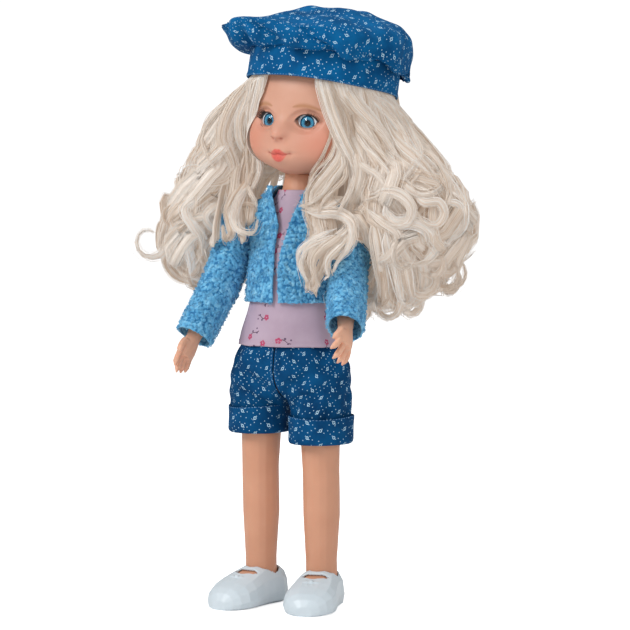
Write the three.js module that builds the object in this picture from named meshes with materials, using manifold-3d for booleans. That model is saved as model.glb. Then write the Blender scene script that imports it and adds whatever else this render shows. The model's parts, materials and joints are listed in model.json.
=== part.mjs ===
// A posable vinyl doll in a beret, cropped jacket, T-shirt, turned-up shorts and strap shoes.
// Millimetres, +Z up. The doll stands on z = 0, faces -Y, and its left side is +X.
import * as THREE from 'three';
import { mergeVertices } from 'three/addons/utils/BufferGeometryUtils.js';
import Module from 'manifold-3d';

const wasm = await Module();
wasm.setup();

// Fits
const runGap = 0.3; // between pieces that touch or turn on each other
const clothGap = 0.4; // between a garment and what it lies on
const hairGap = 0.6; // between the hair and what it falls over

// Body, from the table up: each length starts where the one before it ends
const ankleHeight = 26;
const calfAboveAnkle = 26;
const kneeAboveCalf = 24;
const hipAboveKnee = 50;
const waistAboveHip = 37;
const chestAboveWaist = 32;
const shoulderAboveChest = 14;
const neckAboveShoulder = 28;
const calfHeight = ankleHeight + calfAboveAnkle;
const kneeHeight = calfHeight + kneeAboveCalf;
const hipHeight = kneeHeight + hipAboveKnee;
const waistHeight = hipHeight + waistAboveHip;
const chestHeight = waistHeight + chestAboveWaist;
const shoulderHeight = chestHeight + shoulderAboveChest;
const neckHeight = shoulderHeight + neckAboveShoulder;

// Torso: half widths, half depths, and how far the back leans behind the hips
const torsoWall = 2.2;
const bodySides = 18; // facets round the torso and the clothes on it
const jointSides = 16; // facets of the round rooms that the limbs turn in
const plugSides = 12; // facets of the plugs and their holes
const crotchDrop = 8; // the torso's lowest point below the hip pivots
const crotchHalfWidth = 7.6;
const crotchHalfDepth = 12;
const hipHalfWidth = 26;
const hipHalfDepth = 17.2;
const waistHalfWidth = 22;
const waistHalfDepth = 16;
const waistBack = 1.5;
const chestHalfWidth = 20;
const chestHalfDepth = 16.5;
const chestBack = 5;
const shoulderHalfWidth = 21.2;
const shoulderHalfDepth = 13;
const shoulderBack = 9;
const neckRadius = 10.3;
const neckBack = 12;
const neckOut = 2; // the neck leans a little towards the left shoulder

// Neck knob, which the head snaps over
const grooveRadius = 6;
const grooveLength = 3.6;
const knobRadius = 8.4;
const knobLength = 4;
const stubLength = 6;
const boreRadius = 3.5; // mould opening through the neck into the hollow torso
const boreDepth = 30;

// Head, measured from its centre
const headHalfWidth = 36;
const headHalfDepth = 37;
const headHalfHeight = 40;
const headWall = 2.1;
const headBack = 13; // the skull's centre lies behind the neck
const faceLinesAround = 32; // the skin's net
const faceLinesUp = 20;
const faceCrowding = 0.55; // how much its lines gather at the face
const headTurn = THREE.MathUtils.degToRad(-12.5);
const headTilt = THREE.MathUtils.degToRad(3.3);

// Eyes
const eyeRadius = 9.5;
const pocketWall = 1.4;
const pocketSlack = 0.3;
const eyeOut = 11.2;
const eyeSetBack = 14.4; // the eye's centre behind the front of the skull
const eyeForward = headHalfDepth - eyeSetBack;
const eyeDrop = 10.6;
const eyeBackFlat = 2;
const eyeSides = 14;
const recessShare = 0.65; // depth of the iris's seat, as a share of the eye's radius
const irisRadius = 4.3;
const irisThickness = 0.6;
const corneaRise = 1.1;
const lidOut = 14.4;
const lidHalfWidth = 5.8;
const lidHalfHeight = 4.1;
const lashLength = 2.2;
const lashThickness = 0.5;
const gazeTurn = THREE.MathUtils.degToRad(-4);

// Arms, along their own axis from the shoulder
const shoulderBallRadius = 8.6;
const shoulderBallOut = 9.4; // the ball's centre outside the torso's side
const armPlugRadius = 4.5;
const armPlugLength = 5;
const plugFlange = 1.5;
const upperArmRadius = 5.6;
const elbowAlong = 38;
const elbowRadius = 5.3;
const elbowBend = THREE.MathUtils.degToRad(5);
const wristAlong = 74;
const wristRadius = 4.6;
const palmLength = 12;
const palmHalfThickness = 3.8;
const palmHalfWidth = 7.4;
const fingerLength = 13.5;
const fingerRadius = 2;
const thumbLength = 11;
const thumbRadius = 2.4;

// Legs
const legOutAtHip = 16.8;
const legOutAtKnee = 18.6;
const hipFace = 8.3; // flat inner face of the leg's round top
const hipDiscRadius = 16.6;
const thighHalfWidth = 11.2;
const thighHalfDepth = 14;
const kneeHalfWidth = 10;
const kneeHalfDepth = 10.8;
const calfHalfWidth = 9.9;
const calfHalfDepth = 11.2;
const ankleHalfWidth = 8.5;
const ankleHalfDepth = 9.2;
const legPlugRadius = 5;
const legPlugLength = 3.6;
const lapRoom = 2.2; // how far ahead of the hip's axis the room for a raised thigh starts
const crotchRoom = 15.4; // radius about the hip's axis kept free for the torso between the legs

// Shoes
const toeOut = THREE.MathUtils.degToRad(11.5);
const shoeLength = 52;
const shoeHeel = 15.4; // how far the heel lies behind the ankle
const shoeHalfWidth = 14.8;
const shoeHeelHalfWidth = 11.6;
const shoeHeight = 22.5;
const toeHeight = 13;
const shoeWall = 1.3;
const soleThickness = 4;
const soleFlatness = 1.35; // above 1: how much of the sole's width lies flat
const strapWidth = 4.6;
const strapForward = 6.4; // the strap's front edge ahead of the ankle's centre
const vampOpening = 6.5;
const bowSize = 3.4;

// T-shirt
const shirtThickness = 0.8;
const shirtHemAboveHip = 17;
const shirtHemEase = 3;
const shirtWaistEase = 2.7;
const collarDrop = 9; // collar below the top of the neck
const collarEase = 1.4;

// Jacket
const jacketThickness = 1.6;
const jacketHemAboveWaist = 4;
const jacketHemEase = 3.8;
const jacketChestEase = 3.4;
const jacketCollarDrop = 7;
const jacketCollarEase = 3.2;
const armholeRadius = 12.6;
const rimStand = 2.4; // how far the armhole's edge stands outside the shoulder
const frontOpeningHem = 1.6; // half widths of the open front
const frontOpeningChest = 1.3;
const frontOpeningCollar = 8.5;

// Sleeves
const sleeveHalfWidth = 10.8;
const sleeveHalfDepth = 13.2;
const sleeveEndHalfWidth = 9.6;
const sleeveAlong = 73;
const sleeveThickness = 1.4;
const sleeveHeadRise = 1.9; // fullness over the shoulder
const sleeveStart = 0.6; // outside the torso's side

// Shorts
const shortsThickness = 0.9;
const shortsEase = 2.2;
const shortsTopAboveHip = 21;
const waistbandWidth = 7;
const shortsCrotchDrop = 10; // below the hip pivots
const shortsLegHalfWidth = 14.6;
const shortsLegHalfDepth = 16.4;
const cuffThickness = 1.3;
const cuffWidth = 15;
const cuffBelowTorsoRight = 8; // the cuffs' upper edges below the torso's lowest point
const cuffBelowTorsoLeft = 13;

// Beret, in the head's frame
const beretPitch = THREE.MathUtils.degToRad(-9);
const beretHeight = 8; // the band's lower edge above the skull's centre
const bandWidth = 15;
const bandThickness = 1.2;
const bandEase = 1.2;
const crownReach = 53;
const crownRise = 26; // the crown's top above the band
const crownThickness = 1.2;
const crownRim = 0.3; // share of the crown's profile at which it is widest
const crownEnd = 0.88; // where the profile ends in the flat middle
const crownShift = { x: -4.2, y: -3.4 }; // the crown slides to the right and forward
const slouchTurn = THREE.MathUtils.degToRad(50); // direction of the lower, fuller side
const crownPleats = 10;
const pleatDepth = 1.3;
const crownSides = 40;

// Hair
const scalpHair = 2.2; // thickness of the hair drawn over the scalp
const capEase = 1.8; // its inner side above the skin
const capBottom = 14; // its lower edge below the skull's centre
const hairWall = 3; // thickness of the big masses, which are hollow and open below
const windowHalfWidth = 25.5; // the face left free
const windowHalfHeight = 33;
const windowDrop = 16;
const windowShift = 2;

// Colours
const vinyl = { color: 0xd99a80, roughness: 0.55, metalness: 0 };
const eyeWhite = { color: 0xf4f2ee, roughness: 0.2, metalness: 0 };
const irisBlue = { color: 0x3f8fb0, roughness: 0.25, metalness: 0 };
const clearLens = { color: 0xdfeef5, roughness: 0.05, metalness: 0 };
const lashBlack = { color: 0x1c1614, roughness: 0.6, metalness: 0 };
const blondHair = { color: 0xe6d8c4, roughness: 0.45, metalness: 0 };
const printedBlue = { color: 0x1b5a92, roughness: 0.85, metalness: 0 };
const boucleBlue = { color: 0x5a9cc4, roughness: 0.95, metalness: 0 };
const jerseyPink = { color: 0xd9bccb, roughness: 0.9, metalness: 0 };
const whiteVinyl = { color: 0xe6eef2, roughness: 0.35, metalness: 0 };

const xAxis = new THREE.Vector3(1, 0, 0);
const yAxis = new THREE.Vector3(0, 1, 0);
const { degToRad } = THREE.MathUtils;
const reach = 200; // longer than any piece, for cutting blocks

// Smooth size along a body: the rows give a position and the values there
function smoothRows(rows) {
  const width = rows[0].length - 1;
  const positions = rows.map((row) => row[0]);
  const values = rows.flatMap((row) => row.slice(1));
  const curve = new THREE.CubicInterpolant(positions, values, width, new Float32Array(width));
  const first = positions[0];
  const last = positions[positions.length - 1];
  return (position) => Array.from(curve.evaluate(THREE.MathUtils.clamp(position, first, last)));
}

// Evenly spaced values from one number to another, both ends included
function steps(from, to, count) {
  return Array.from({ length: count + 1 }, (_, i) => from + ((to - from) * i) / count);
}

// A closed outline round a centre, in the plane of two unit vectors
function oval(centre, across, along, halfAcross, halfAlong, sides) {
  return Array.from({ length: sides }, (_, i) => {
    const turn = (2 * Math.PI * i) / sides;
    return centre
      .clone()
      .addScaledVector(across, halfAcross * Math.cos(turn))
      .addScaledVector(along, halfAlong * Math.sin(turn));
  });
}

// Solid through a row of outlines: with capped ends, or joined last to first like a ring
function loft(rings, joined = false) {
  const sides = rings[0].length;
  const points = rings.flat();
  const faces = [];
  const spans = joined ? rings.length : rings.length - 1;
  for (let r = 0; r < spans; r += 1) {
    const next = (r + 1) % rings.length;
    for (let i = 0; i < sides; i += 1) {
      const j = (i + 1) % sides;
      faces.push([r * sides + i, r * sides + j, next * sides + j]);
      faces.push([r * sides + i, next * sides + j, next * sides + i]);
    }
  }
  if (!joined) {
    for (const [ring, flip] of [[0, true], [rings.length - 1, false]]) {
      const middle = new THREE.Vector3();
      rings[ring].forEach((point) => middle.addScaledVector(point, 1 / sides));
      points.push(middle);
      for (let i = 0; i < sides; i += 1) {
        const face = [ring * sides + i, ring * sides + ((i + 1) % sides), points.length - 1];
        faces.push(flip ? face.reverse() : face);
      }
    }
  }
  return solidOf(points, faces);
}

function signedVolume(points, faces) {
  const cross = new THREE.Vector3();
  return faces.reduce((sum, [a, b, c]) => sum + cross.crossVectors(points[b], points[c]).dot(points[a]), 0);
}

function solidOf(points, faces) {
  if (signedVolume(points, faces) < 0) faces.forEach((face) => face.reverse());
  const vertProperties = Float32Array.from(points.flatMap((point) => point.toArray()));
  const triVerts = Uint32Array.from(faces.flat());
  return new wasm.Manifold(new wasm.Mesh({ numProp: 3, vertProperties, triVerts }));
}

// Solid from a ready geometry: merged vertices, without the faces that have no area
function solidFrom(geometry) {
  const bare = geometry.clone();
  bare.deleteAttribute('normal');
  bare.deleteAttribute('uv');
  const merged = mergeVertices(bare, 1e-4);
  const position = merged.getAttribute('position');
  const points = Array.from({ length: position.count }, (_, i) =>
    new THREE.Vector3().fromBufferAttribute(position, i));
  const faces = [];
  for (let i = 0; i < merged.index.count; i += 3) {
    const face = [0, 1, 2].map((k) => merged.index.getX(i + k));
    if (new Set(face).size === 3) faces.push(face);
  }
  return solidOf(points, faces);
}

function geometryOf(solid) {
  const mesh = solid.getMesh();
  const geometry = new THREE.BufferGeometry();
  geometry.setAttribute('position', new THREE.BufferAttribute(new Float32Array(mesh.vertProperties), 3));
  geometry.setIndex(new THREE.BufferAttribute(new Uint32Array(mesh.triVerts), 1));
  geometry.computeVertexNormals();
  return geometry;
}

function moved(solid, object) {
  object.updateMatrixWorld(true);
  return solid.transform(object.matrixWorld.elements);
}

function movedBack(solid, object) {
  object.updateMatrixWorld(true);
  return solid.transform(object.matrixWorld.clone().invert().elements);
}

// The largest body of a solid, when a cut leaves loose slivers
function largest(solid) {
  const bodies = solid.decompose();
  return bodies.reduce((best, body) => (body.volume() > best.volume() ? body : best));
}

function block(low, high) {
  const size = high.clone().sub(low);
  const box = new THREE.BoxGeometry(size.x, size.y, size.z);
  box.translate((low.x + high.x) / 2, (low.y + high.y) / 2, (low.z + high.z) / 2);
  return solidFrom(box);
}

// A turned solid about the X axis: pairs of distance along the axis and radius
function turnedAboutX(profile, sides, centreY, centreZ) {
  const points = profile.map(([along, radius]) => new THREE.Vector2(radius, along));
  const lathe = new THREE.LatheGeometry(points, sides);
  lathe.rotateZ(-Math.PI / 2);
  lathe.translate(0, centreY, centreZ);
  return solidFrom(lathe);
}

// A turned solid about the Z axis: pairs of radius and height
function turnedAboutZ(profile, sides) {
  const points = profile.map(([radius, height]) => new THREE.Vector2(radius, height));
  const lathe = new THREE.LatheGeometry(points, sides);
  lathe.rotateX(Math.PI / 2);
  return solidFrom(lathe);
}

// A round limb along a curve, with a radius that changes along it
function limb(curve, radiusAt, count, sides) {
  const frames = curve.computeFrenetFrames(count);
  const rings = steps(0, 1, count).map((t, i) =>
    oval(curve.getPointAt(t), frames.normals[i], frames.binormals[i], radiusAt(t), radiusAt(t), sides));
  return loft(rings);
}

function mirrored(solid) {
  return solid.mirror([1, 0, 0]);
}

const sides = [
  { name: 'left', sign: 1, swing: degToRad(38), splay: degToRad(16), cuffDrop: cuffBelowTorsoLeft,
    curl: degToRad(48), fan: degToRad(12) },
  { name: 'right', sign: -1, swing: degToRad(29), splay: degToRad(11), cuffDrop: cuffBelowTorsoRight,
    curl: degToRad(16), fan: degToRad(2) },
];

function forSide(side, solid) {
  return side.sign > 0 ? solid : mirrored(solid);
}

const doll = new THREE.Group();

function addPiece(parent, name, solid, look) {
  const mesh = new THREE.Mesh(geometryOf(solid), new THREE.MeshStandardMaterial(look));
  mesh.name = name;
  parent.add(mesh);
}

// The head turns and tilts about the top of the neck
const headFrame = new THREE.Group();
headFrame.position.set(neckOut, neckBack, neckHeight);
headFrame.rotation.set(0, headTilt, headTurn, 'ZYX');
doll.add(headFrame);
const headCentre = new THREE.Vector3(0, headBack, headHalfHeight);

// Each arm turns about its shoulder, each foot points outward about its ankle
for (const side of sides) {
  side.armFrame = new THREE.Group();
  side.armFrame.position.set(side.sign * (shoulderHalfWidth + runGap), shoulderBack, shoulderHeight);
  side.armFrame.rotation.x = -side.swing;
  doll.add(side.armFrame);
  side.footFrame = new THREE.Group();
  side.footFrame.position.set(side.sign * legOutAtKnee, 0, 0);
  side.footFrame.rotation.z = side.sign * toeOut;
  doll.add(side.footFrame);
}

// Torso outline at a height: lean, half width, half depth
const torsoBottom = hipHeight - crotchDrop;
const torsoRows = smoothRows([
  [torsoBottom, 0, crotchHalfWidth, crotchHalfDepth],
  [hipHeight + 2, 0, hipHalfWidth - 2, hipHalfDepth],
  [hipHeight + 18, 0, hipHalfWidth, hipHalfDepth],
  [waistHeight, waistBack, waistHalfWidth, waistHalfDepth],
  [chestHeight, chestBack, chestHalfWidth, chestHalfDepth],
  [shoulderHeight, shoulderBack, shoulderHalfWidth, shoulderHalfDepth],
  [shoulderHeight + 8, shoulderBack + 1, shoulderHalfWidth - 3.5, shoulderHalfDepth - 1.5],
  [neckHeight - 12, neckBack - 2, neckRadius + 2.5, neckRadius + 0.6],
  [neckHeight - 6, neckBack - 1, neckRadius, neckRadius],
  [neckHeight, neckBack, neckRadius, neckRadius],
]);

// Outline round the torso, larger by an ease
function torsoRing(height, ease, count) {
  const [back, halfWidth, halfDepth] = torsoRows(height);
  const out = neckOut * THREE.MathUtils.smoothstep(height, shoulderHeight, neckHeight - 6);
  const centre = new THREE.Vector3(out, back, height);
  return oval(centre, xAxis, yAxis, halfWidth + ease, halfDepth + ease, count);
}

// Round top of the leg, turned about the hip's axis: distance out from the middle, and radius.
// The flats of a room cut round it lie at the radius, so the leg can turn inside
function hipDisc(ease, inner, facets) {
  const outer = hipHalfWidth + 0.3 + ease;
  const radius = (hipDiscRadius + ease) / Math.cos(Math.PI / facets);
  return [
    [inner, 0],
    [inner, radius * 0.95],
    [inner + 3, radius],
    [legOutAtHip, radius * 0.97],
    [outer - 4, radius * 0.74],
    [outer - 1.2, radius * 0.42],
    [outer, 0],
  ];
}

// Room ahead of a hip for the thigh when the doll sits, and between the legs for the raised cuff
function lap(ease) {
  const top = hipHeight + thighHalfDepth + ease;
  const thigh = block(
    new THREE.Vector3(hipFace - ease, -reach, torsoBottom - ease),
    new THREE.Vector3(reach, -lapRoom + ease, top),
  );
  const between = block(
    new THREE.Vector3(-ease, -reach, torsoBottom - ease),
    new THREE.Vector3(reach, -crotchRoom + 2 * ease, top),
  );
  return thigh.add(between);
}

// Torso: a hollow shell with the neck knob, shoulder holes and arches for the legs
function makeTorso() {
  const count = bodySides;
  const heights = [
    ...steps(torsoBottom, waistHeight, 5),
    ...steps(waistHeight, shoulderHeight, 3).slice(1),
    ...steps(shoulderHeight, neckHeight - 2, 4).slice(1),
  ];
  const outer = loft(heights.map((height) => torsoRing(height, 0, count)));
  const hollowTop = neckHeight - stubLength - torsoWall;
  const innerHeights = heights.filter((height) => height > torsoBottom + torsoWall && height < hollowTop);
  const inner = loft(innerHeights.map((height) => torsoRing(height, -torsoWall, 12)));
  const stub = turnedAboutZ([
    [0, -stubLength], [neckRadius, -stubLength], [neckRadius, 0],
    [grooveRadius, 0], [grooveRadius, grooveLength],
    [knobRadius, grooveLength], [knobRadius - 1, grooveLength + knobLength], [0, grooveLength + knobLength],
  ], bodySides);
  const bore = turnedAboutZ([
    [0, -boreDepth], [boreRadius, -boreDepth], [boreRadius, boreDepth], [0, boreDepth],
  ], 8);
  let torso = outer.add(moved(stub, headFrame));
  let hollow = inner;
  for (const side of sides) {
    const arch = turnedAboutX(hipDisc(runGap, hipFace - runGap, jointSides), jointSides, 0, hipHeight);
    const behind = runGap + torsoWall;
    const wallArch = turnedAboutX(hipDisc(behind, hipFace - behind, 10), 10, 0, hipHeight);
    torso = torso.subtract(forSide(side, arch.add(lap(runGap))));
    hollow = hollow.subtract(forSide(side, wallArch.add(lap(behind))));
  }
  const legHole = turnedAboutX([
    [-hipFace, 0], [-hipFace, legPlugRadius + runGap], [hipFace, legPlugRadius + runGap], [hipFace, 0],
  ], plugSides, 0, hipHeight);
  const armHole = turnedAboutX([
    [-reach, 0], [-reach, armPlugRadius + runGap], [reach, armPlugRadius + runGap], [reach, 0],
  ], plugSides, shoulderBack, shoulderHeight);
  torso = torso.subtract(hollow).subtract(moved(bore, headFrame)).subtract(legHole).subtract(armHole);
  addPiece(doll, 'torso', largest(torso), vinyl);
}

// Skull and face as a distance from the head's centre: each bump is an angle round from the front,
// an angle up, how far it spreads each way, and its height
const faceBumps = [
  [0, -47, 38, 17, 6.6], // jaw
  [0, -52, 11, 7, 1.6], // chin
  [0, -38, 13, 8, 1.8], // muzzle
  [0, -37.2, 8.5, 1.9, 0.9], // upper lip
  [0, -42.2, 7, 2.2, 1.1], // lower lip
  [0, -39.7, 9.5, 0.9, -0.9], // line between the lips
  [0, -24, 4.6, 4.2, 3.6], // nose tip
  [0, -12, 5, 8, 1.1], // nose bridge
  [24, -18, 10, 8, -4], // eye sockets
  [42, -32, 18, 13, 4.4], // cheeks
  [0, 12, 40, 20, 0.8], // forehead
];

function headDistance(azimuth, elevation) {
  const flat = Math.cos(elevation);
  const x = (flat * Math.sin(azimuth)) / headHalfWidth;
  const y = (flat * Math.cos(azimuth)) / headHalfDepth;
  const z = Math.sin(elevation) / headHalfHeight;
  const skull = 1 / Math.hypot(x, y, z);
  const around = Math.abs(THREE.MathUtils.radToDeg(azimuth));
  const up = THREE.MathUtils.radToDeg(elevation);
  return faceBumps.reduce((distance, [bumpAround, bumpUp, spreadAround, spreadUp, height]) => {
    const a = (around - bumpAround) / spreadAround;
    const b = (up - bumpUp) / spreadUp;
    return distance + height * Math.exp(-(a * a + b * b) / 2);
  }, skull);
}

// Point of the head's skin, larger by an ease. Azimuth 0 looks along -Y, positive towards +X
function headPoint(azimuth, elevation, ease) {
  const distance = headDistance(azimuth, elevation) + ease;
  const flat = distance * Math.cos(elevation);
  const up = distance * Math.sin(elevation);
  return new THREE.Vector3(flat * Math.sin(azimuth), -flat * Math.cos(azimuth), up).add(headCentre);
}

// The whole head as a closed skin. Crowding above 0 gathers the lines round the face
function headSkin(around, up, ease, crowding) {
  const top = Math.PI / 2;
  const rings = steps(-1, 1, up).slice(1, -1).map((s) => {
    const elevation = top * (s + 0.28 * crowding * Math.sin(Math.PI * (s + 0.9)));
    return Array.from({ length: around }, (_, i) => {
      const turn = (2 * Math.PI * i) / around - Math.PI;
      return headPoint(turn - crowding * Math.sin(turn), elevation, ease);
    });
  });
  return loft(rings);
}

function eyeCentre(side) {
  return headCentre.clone().add(new THREE.Vector3(side.sign * eyeOut, -eyeForward, -eyeDrop));
}

function ballAt(centre, radius, count) {
  const sphere = new THREE.SphereGeometry(radius, count, Math.round(count * 0.6));
  sphere.translate(centre.x, centre.y, centre.z);
  return solidFrom(sphere);
}

// Almond outline of the lids, seen from the front
function lidOutline() {
  const shape = new THREE.Shape();
  const half = lidHalfWidth;
  const rise = lidHalfHeight;
  shape.moveTo(-half, 0);
  shape.bezierCurveTo(-half * 0.85, rise * 1.05, half * 0.5, rise * 1.5, half, rise * 0.25);
  shape.bezierCurveTo(half * 0.8, -rise * 0.95, -half * 0.55, -rise * 1.15, -half, 0);
  return shape;
}

// Head: a hollow vinyl shell that snaps over the neck knob, with a pocket behind each eye opening
function makeHead() {
  let head = headSkin(faceLinesAround, faceLinesUp, 0, faceCrowding);
  let hollow = headSkin(12, 9, -headWall, 0);
  const seat = neckRadius + 2 * runGap;
  const neckSeat = turnedAboutZ([
    [0, -stubLength], [seat, -stubLength], [seat, runGap], [0, runGap],
  ], bodySides);
  const lip = grooveRadius + 2 * runGap;
  const lipTop = grooveLength - runGap;
  const room = knobRadius + 3 * runGap;
  const roomTop = grooveLength + knobLength + 2;
  const knobRoom = turnedAboutZ([
    [0, -1], [lip, -1], [lip, lipTop], [room, lipTop], [room, roomTop], [0, roomTop],
  ], bodySides);
  const openings = [];
  for (const side of sides) {
    const centre = eyeCentre(side);
    hollow = hollow.subtract(ballAt(centre, eyeRadius + runGap + pocketWall, 10));
    openings.push(ballAt(centre, eyeRadius + runGap + pocketSlack, 14));
    const cut = { depth: headHalfDepth, bevelEnabled: false, curveSegments: 5 };
    const prism = new THREE.ExtrudeGeometry(lidOutline(), cut);
    prism.rotateX(Math.PI / 2);
    prism.translate(lidOut, headCentre.y - eyeForward, headCentre.z - eyeDrop - 0.4);
    openings.push(forSide(side, solidFrom(prism)));
  }
  head = head.subtract(hollow).subtract(neckSeat).subtract(knobRoom);
  for (const opening of openings) head = head.subtract(opening);
  addPiece(headFrame, 'head', largest(head), vinyl);
}

// One eye, turned about its own gaze: a white half ball, the iris disc in its recess and a clear dome
function makeEye(side) {
  const recessFloor = eyeRadius * recessShare;
  const irisBase = recessFloor + runGap;
  const rim = Math.acos((irisRadius + runGap) / eyeRadius);
  const backEdge = Math.asin(-eyeBackFlat / eyeRadius);
  const arc = steps(backEdge, rim, 5).map((turn) => [eyeRadius * Math.cos(turn), eyeRadius * Math.sin(turn)]);
  const rimHeight = eyeRadius * Math.sin(rim);
  const white = turnedAboutZ([
    [0, -eyeBackFlat], ...arc, [irisRadius + runGap, recessFloor], [0, recessFloor],
  ], eyeSides);
  const irisTop = irisBase + irisThickness;
  const iris = turnedAboutZ([
    [0, irisBase], [irisRadius, irisBase], [irisRadius, irisTop], [0, irisTop - 0.3],
  ], eyeSides);
  const lensBase = irisTop + runGap;
  const top = rimHeight + corneaRise;
  const dome = steps(0, Math.PI / 2, 3).map((turn) => [
    irisRadius * Math.cos(turn), rimHeight + (top - rimHeight) * Math.sin(turn),
  ]);
  const cornea = turnedAboutZ([
    [0, lensBase], [irisRadius, lensBase], ...dome.slice(0, -1), [0, top],
  ], eyeSides);
  const eyeFrame = new THREE.Group();
  eyeFrame.position.copy(eyeCentre(side));
  eyeFrame.rotation.set(Math.PI / 2, 0, side.sign * degToRad(11) + gazeTurn, 'ZYX');
  headFrame.add(eyeFrame);
  addPiece(eyeFrame, `eye_${side.name}`, white, eyeWhite);
  addPiece(eyeFrame, `iris_${side.name}`, iris, irisBlue);
  addPiece(eyeFrame, `cornea_${side.name}`, cornea, clearLens);
}

// Elevation at which the head's skin has a given height, at an azimuth
function skinAt(x, height) {
  let azimuth = Math.atan2(x, headHalfDepth);
  let elevation = Math.asin(height / headHalfHeight);
  for (let i = 0; i < 12; i += 1) {
    const point = headPoint(azimuth, elevation, 0).sub(headCentre);
    azimuth += (x - point.x) / headHalfDepth;
    elevation += (height - point.z) / headHalfHeight;
  }
  return headPoint(azimuth, elevation, 0);
}

// Lash strip along the upper lid, standing forward from the lid's edge
function makeLash(side) {
  const rings = steps(-0.2, 0.95, 8).map((t) => {
    const x = lidOut + lidHalfWidth * t;
    const rise = lidHalfHeight * (1.02 - 0.72 * (t - 0.15) * (t - 0.15));
    const skin = skinAt(x, -eyeDrop - 0.4 + rise + lashThickness);
    const out = new THREE.Vector3(0.35 + 0.5 * Math.max(0, t), -1, 0.35).normalize();
    const across = new THREE.Vector3(1, 0, 0.1).cross(out).normalize();
    const centre = skin.clone().addScaledVector(out, runGap + 0.35 + lashLength / 2);
    return oval(centre, across, out, lashThickness / 2, lashLength / 2, 6);
  });
  addPiece(headFrame, `eyelash_${side.name}`, forSide(side, loft(rings)), lashBlack);
}

// Arm, hanging down in its own frame: X outward, the shoulder axis through the origin
function armPoint(side, along) {
  const down = new THREE.Vector3(Math.sin(side.splay), 0, -Math.cos(side.splay));
  const bent = down.clone().applyAxisAngle(xAxis, -elbowBend);
  return new THREE.Vector3(shoulderBallOut, 0, 0)
    .addScaledVector(down, Math.min(along, elbowAlong))
    .addScaledVector(bent, Math.max(0, along - elbowAlong));
}

function armAcross(side) {
  return new THREE.Vector3(Math.cos(side.splay), 0, Math.sin(side.splay));
}

const armRows = smoothRows([
  [0, upperArmRadius, upperArmRadius],
  [elbowAlong * 0.5, upperArmRadius, upperArmRadius + 0.3],
  [elbowAlong, elbowRadius, elbowRadius + 0.2],
  [wristAlong - 16, elbowRadius, elbowRadius],
  [wristAlong, wristRadius * 0.85, wristRadius],
  [wristAlong + palmLength * 0.6, palmHalfThickness, palmHalfWidth],
  [wristAlong + palmLength, palmHalfThickness * 0.75, palmHalfWidth * 0.85],
]);

function roundedEnd(t, start) {
  const past = Math.max(0, (t - start) / (1 - start));
  return Math.sqrt(Math.max(0.06, 1 - past * past));
}

// Fingers and thumb: each bends towards the palm along an arc
function makeFinger(side, base, length, radius, fan, curl, inward) {
  const down = new THREE.Vector3(Math.sin(side.splay), 0, -Math.cos(side.splay));
  const forward = down.applyAxisAngle(xAxis, fan);
  const points = steps(0, 1, 4).map((t) => {
    const bend = curl * t;
    const lengthSoFar = Math.sin(bend) / curl;
    const inSoFar = (1 - Math.cos(bend)) / curl;
    return base.clone()
      .addScaledVector(forward, length * lengthSoFar)
      .addScaledVector(inward, length * inSoFar);
  });
  const curve = new THREE.CatmullRomCurve3(points);
  return limb(curve, (t) => radius * (1 - 0.15 * t) * roundedEnd(t, 0.72), 4, 6);
}

function makeArm(side) {
  const across = armAcross(side);
  const inward = across.clone().negate();
  const places = [...steps(0, wristAlong, 6), ...steps(wristAlong, wristAlong + palmLength, 3).slice(1)];
  const rings = places.map((along) => {
    const [halfAcross, halfAlong] = armRows(along);
    return oval(armPoint(side, along), across, yAxis, halfAcross, halfAlong, 12);
  });
  let arm = loft(rings).add(ballAt(new THREE.Vector3(shoulderBallOut, 0, 0), shoulderBallRadius, 10));
  arm = arm.subtract(block(new THREE.Vector3(-reach, -reach, -reach), new THREE.Vector3(0, reach, reach)));
  const flange = armPlugRadius + plugFlange;
  const plug = turnedAboutX([
    [-armPlugLength, 0], [-armPlugLength, armPlugRadius],
    [shoulderBallOut, armPlugRadius], [shoulderBallOut, 0],
  ], plugSides, 0, 0);
  const collar = turnedAboutX([
    [0, 0], [0, flange], [shoulderBallOut, flange], [shoulderBallOut, 0],
  ], plugSides, 0, 0);
  arm = arm.add(plug).add(collar);
  const knuckle = wristAlong + palmLength * 0.82;
  for (let i = 0; i < 4; i += 1) {
    const offset = (i - 1.5) * palmHalfWidth * 0.48;
    const base = armPoint(side, knuckle - Math.abs(i - 1.2)).addScaledVector(yAxis, offset);
    const length = fingerLength * (1 - 0.07 * Math.abs(i - 1.2) * 1.4);
    const fan = side.fan * (i - 1.5) * -1 - elbowBend;
    arm = arm.add(makeFinger(side, base, length, fingerRadius, -fan - 2 * elbowBend, side.curl, inward));
  }
  const thumbBase = armPoint(side, wristAlong + palmLength * 0.3);
  thumbBase.addScaledVector(yAxis, -palmHalfWidth * 0.7);
  arm = arm.add(makeFinger(side, thumbBase, thumbLength, thumbRadius, degToRad(-32), degToRad(35), inward));
  addPiece(side.armFrame, `arm_${side.name}`, forSide(side, largest(arm)), vinyl);
}

// Leg with its foot: round top on the hip's axis, knee, calf, ankle
const legRows = smoothRows([
  [ankleHeight - 14, legOutAtKnee, 1, ankleHalfWidth, ankleHalfDepth],
  [ankleHeight, legOutAtKnee, 0.5, ankleHalfWidth, ankleHalfDepth],
  [calfHeight, legOutAtKnee, 0.8, calfHalfWidth, calfHalfDepth],
  [kneeHeight, legOutAtKnee, 0, kneeHalfWidth, kneeHalfDepth],
  [kneeHeight + hipAboveKnee * 0.4, legOutAtKnee - 0.6, 0, thighHalfWidth - 0.6, thighHalfDepth - 1.4],
  [hipHeight - 12, legOutAtHip + 0.4, 0, thighHalfWidth - 0.8, thighHalfDepth + 0.6],
  [hipHeight, legOutAtHip + 0.2, 0, thighHalfWidth - 2.9, hipDiscRadius - 1.2],
]);

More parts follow.
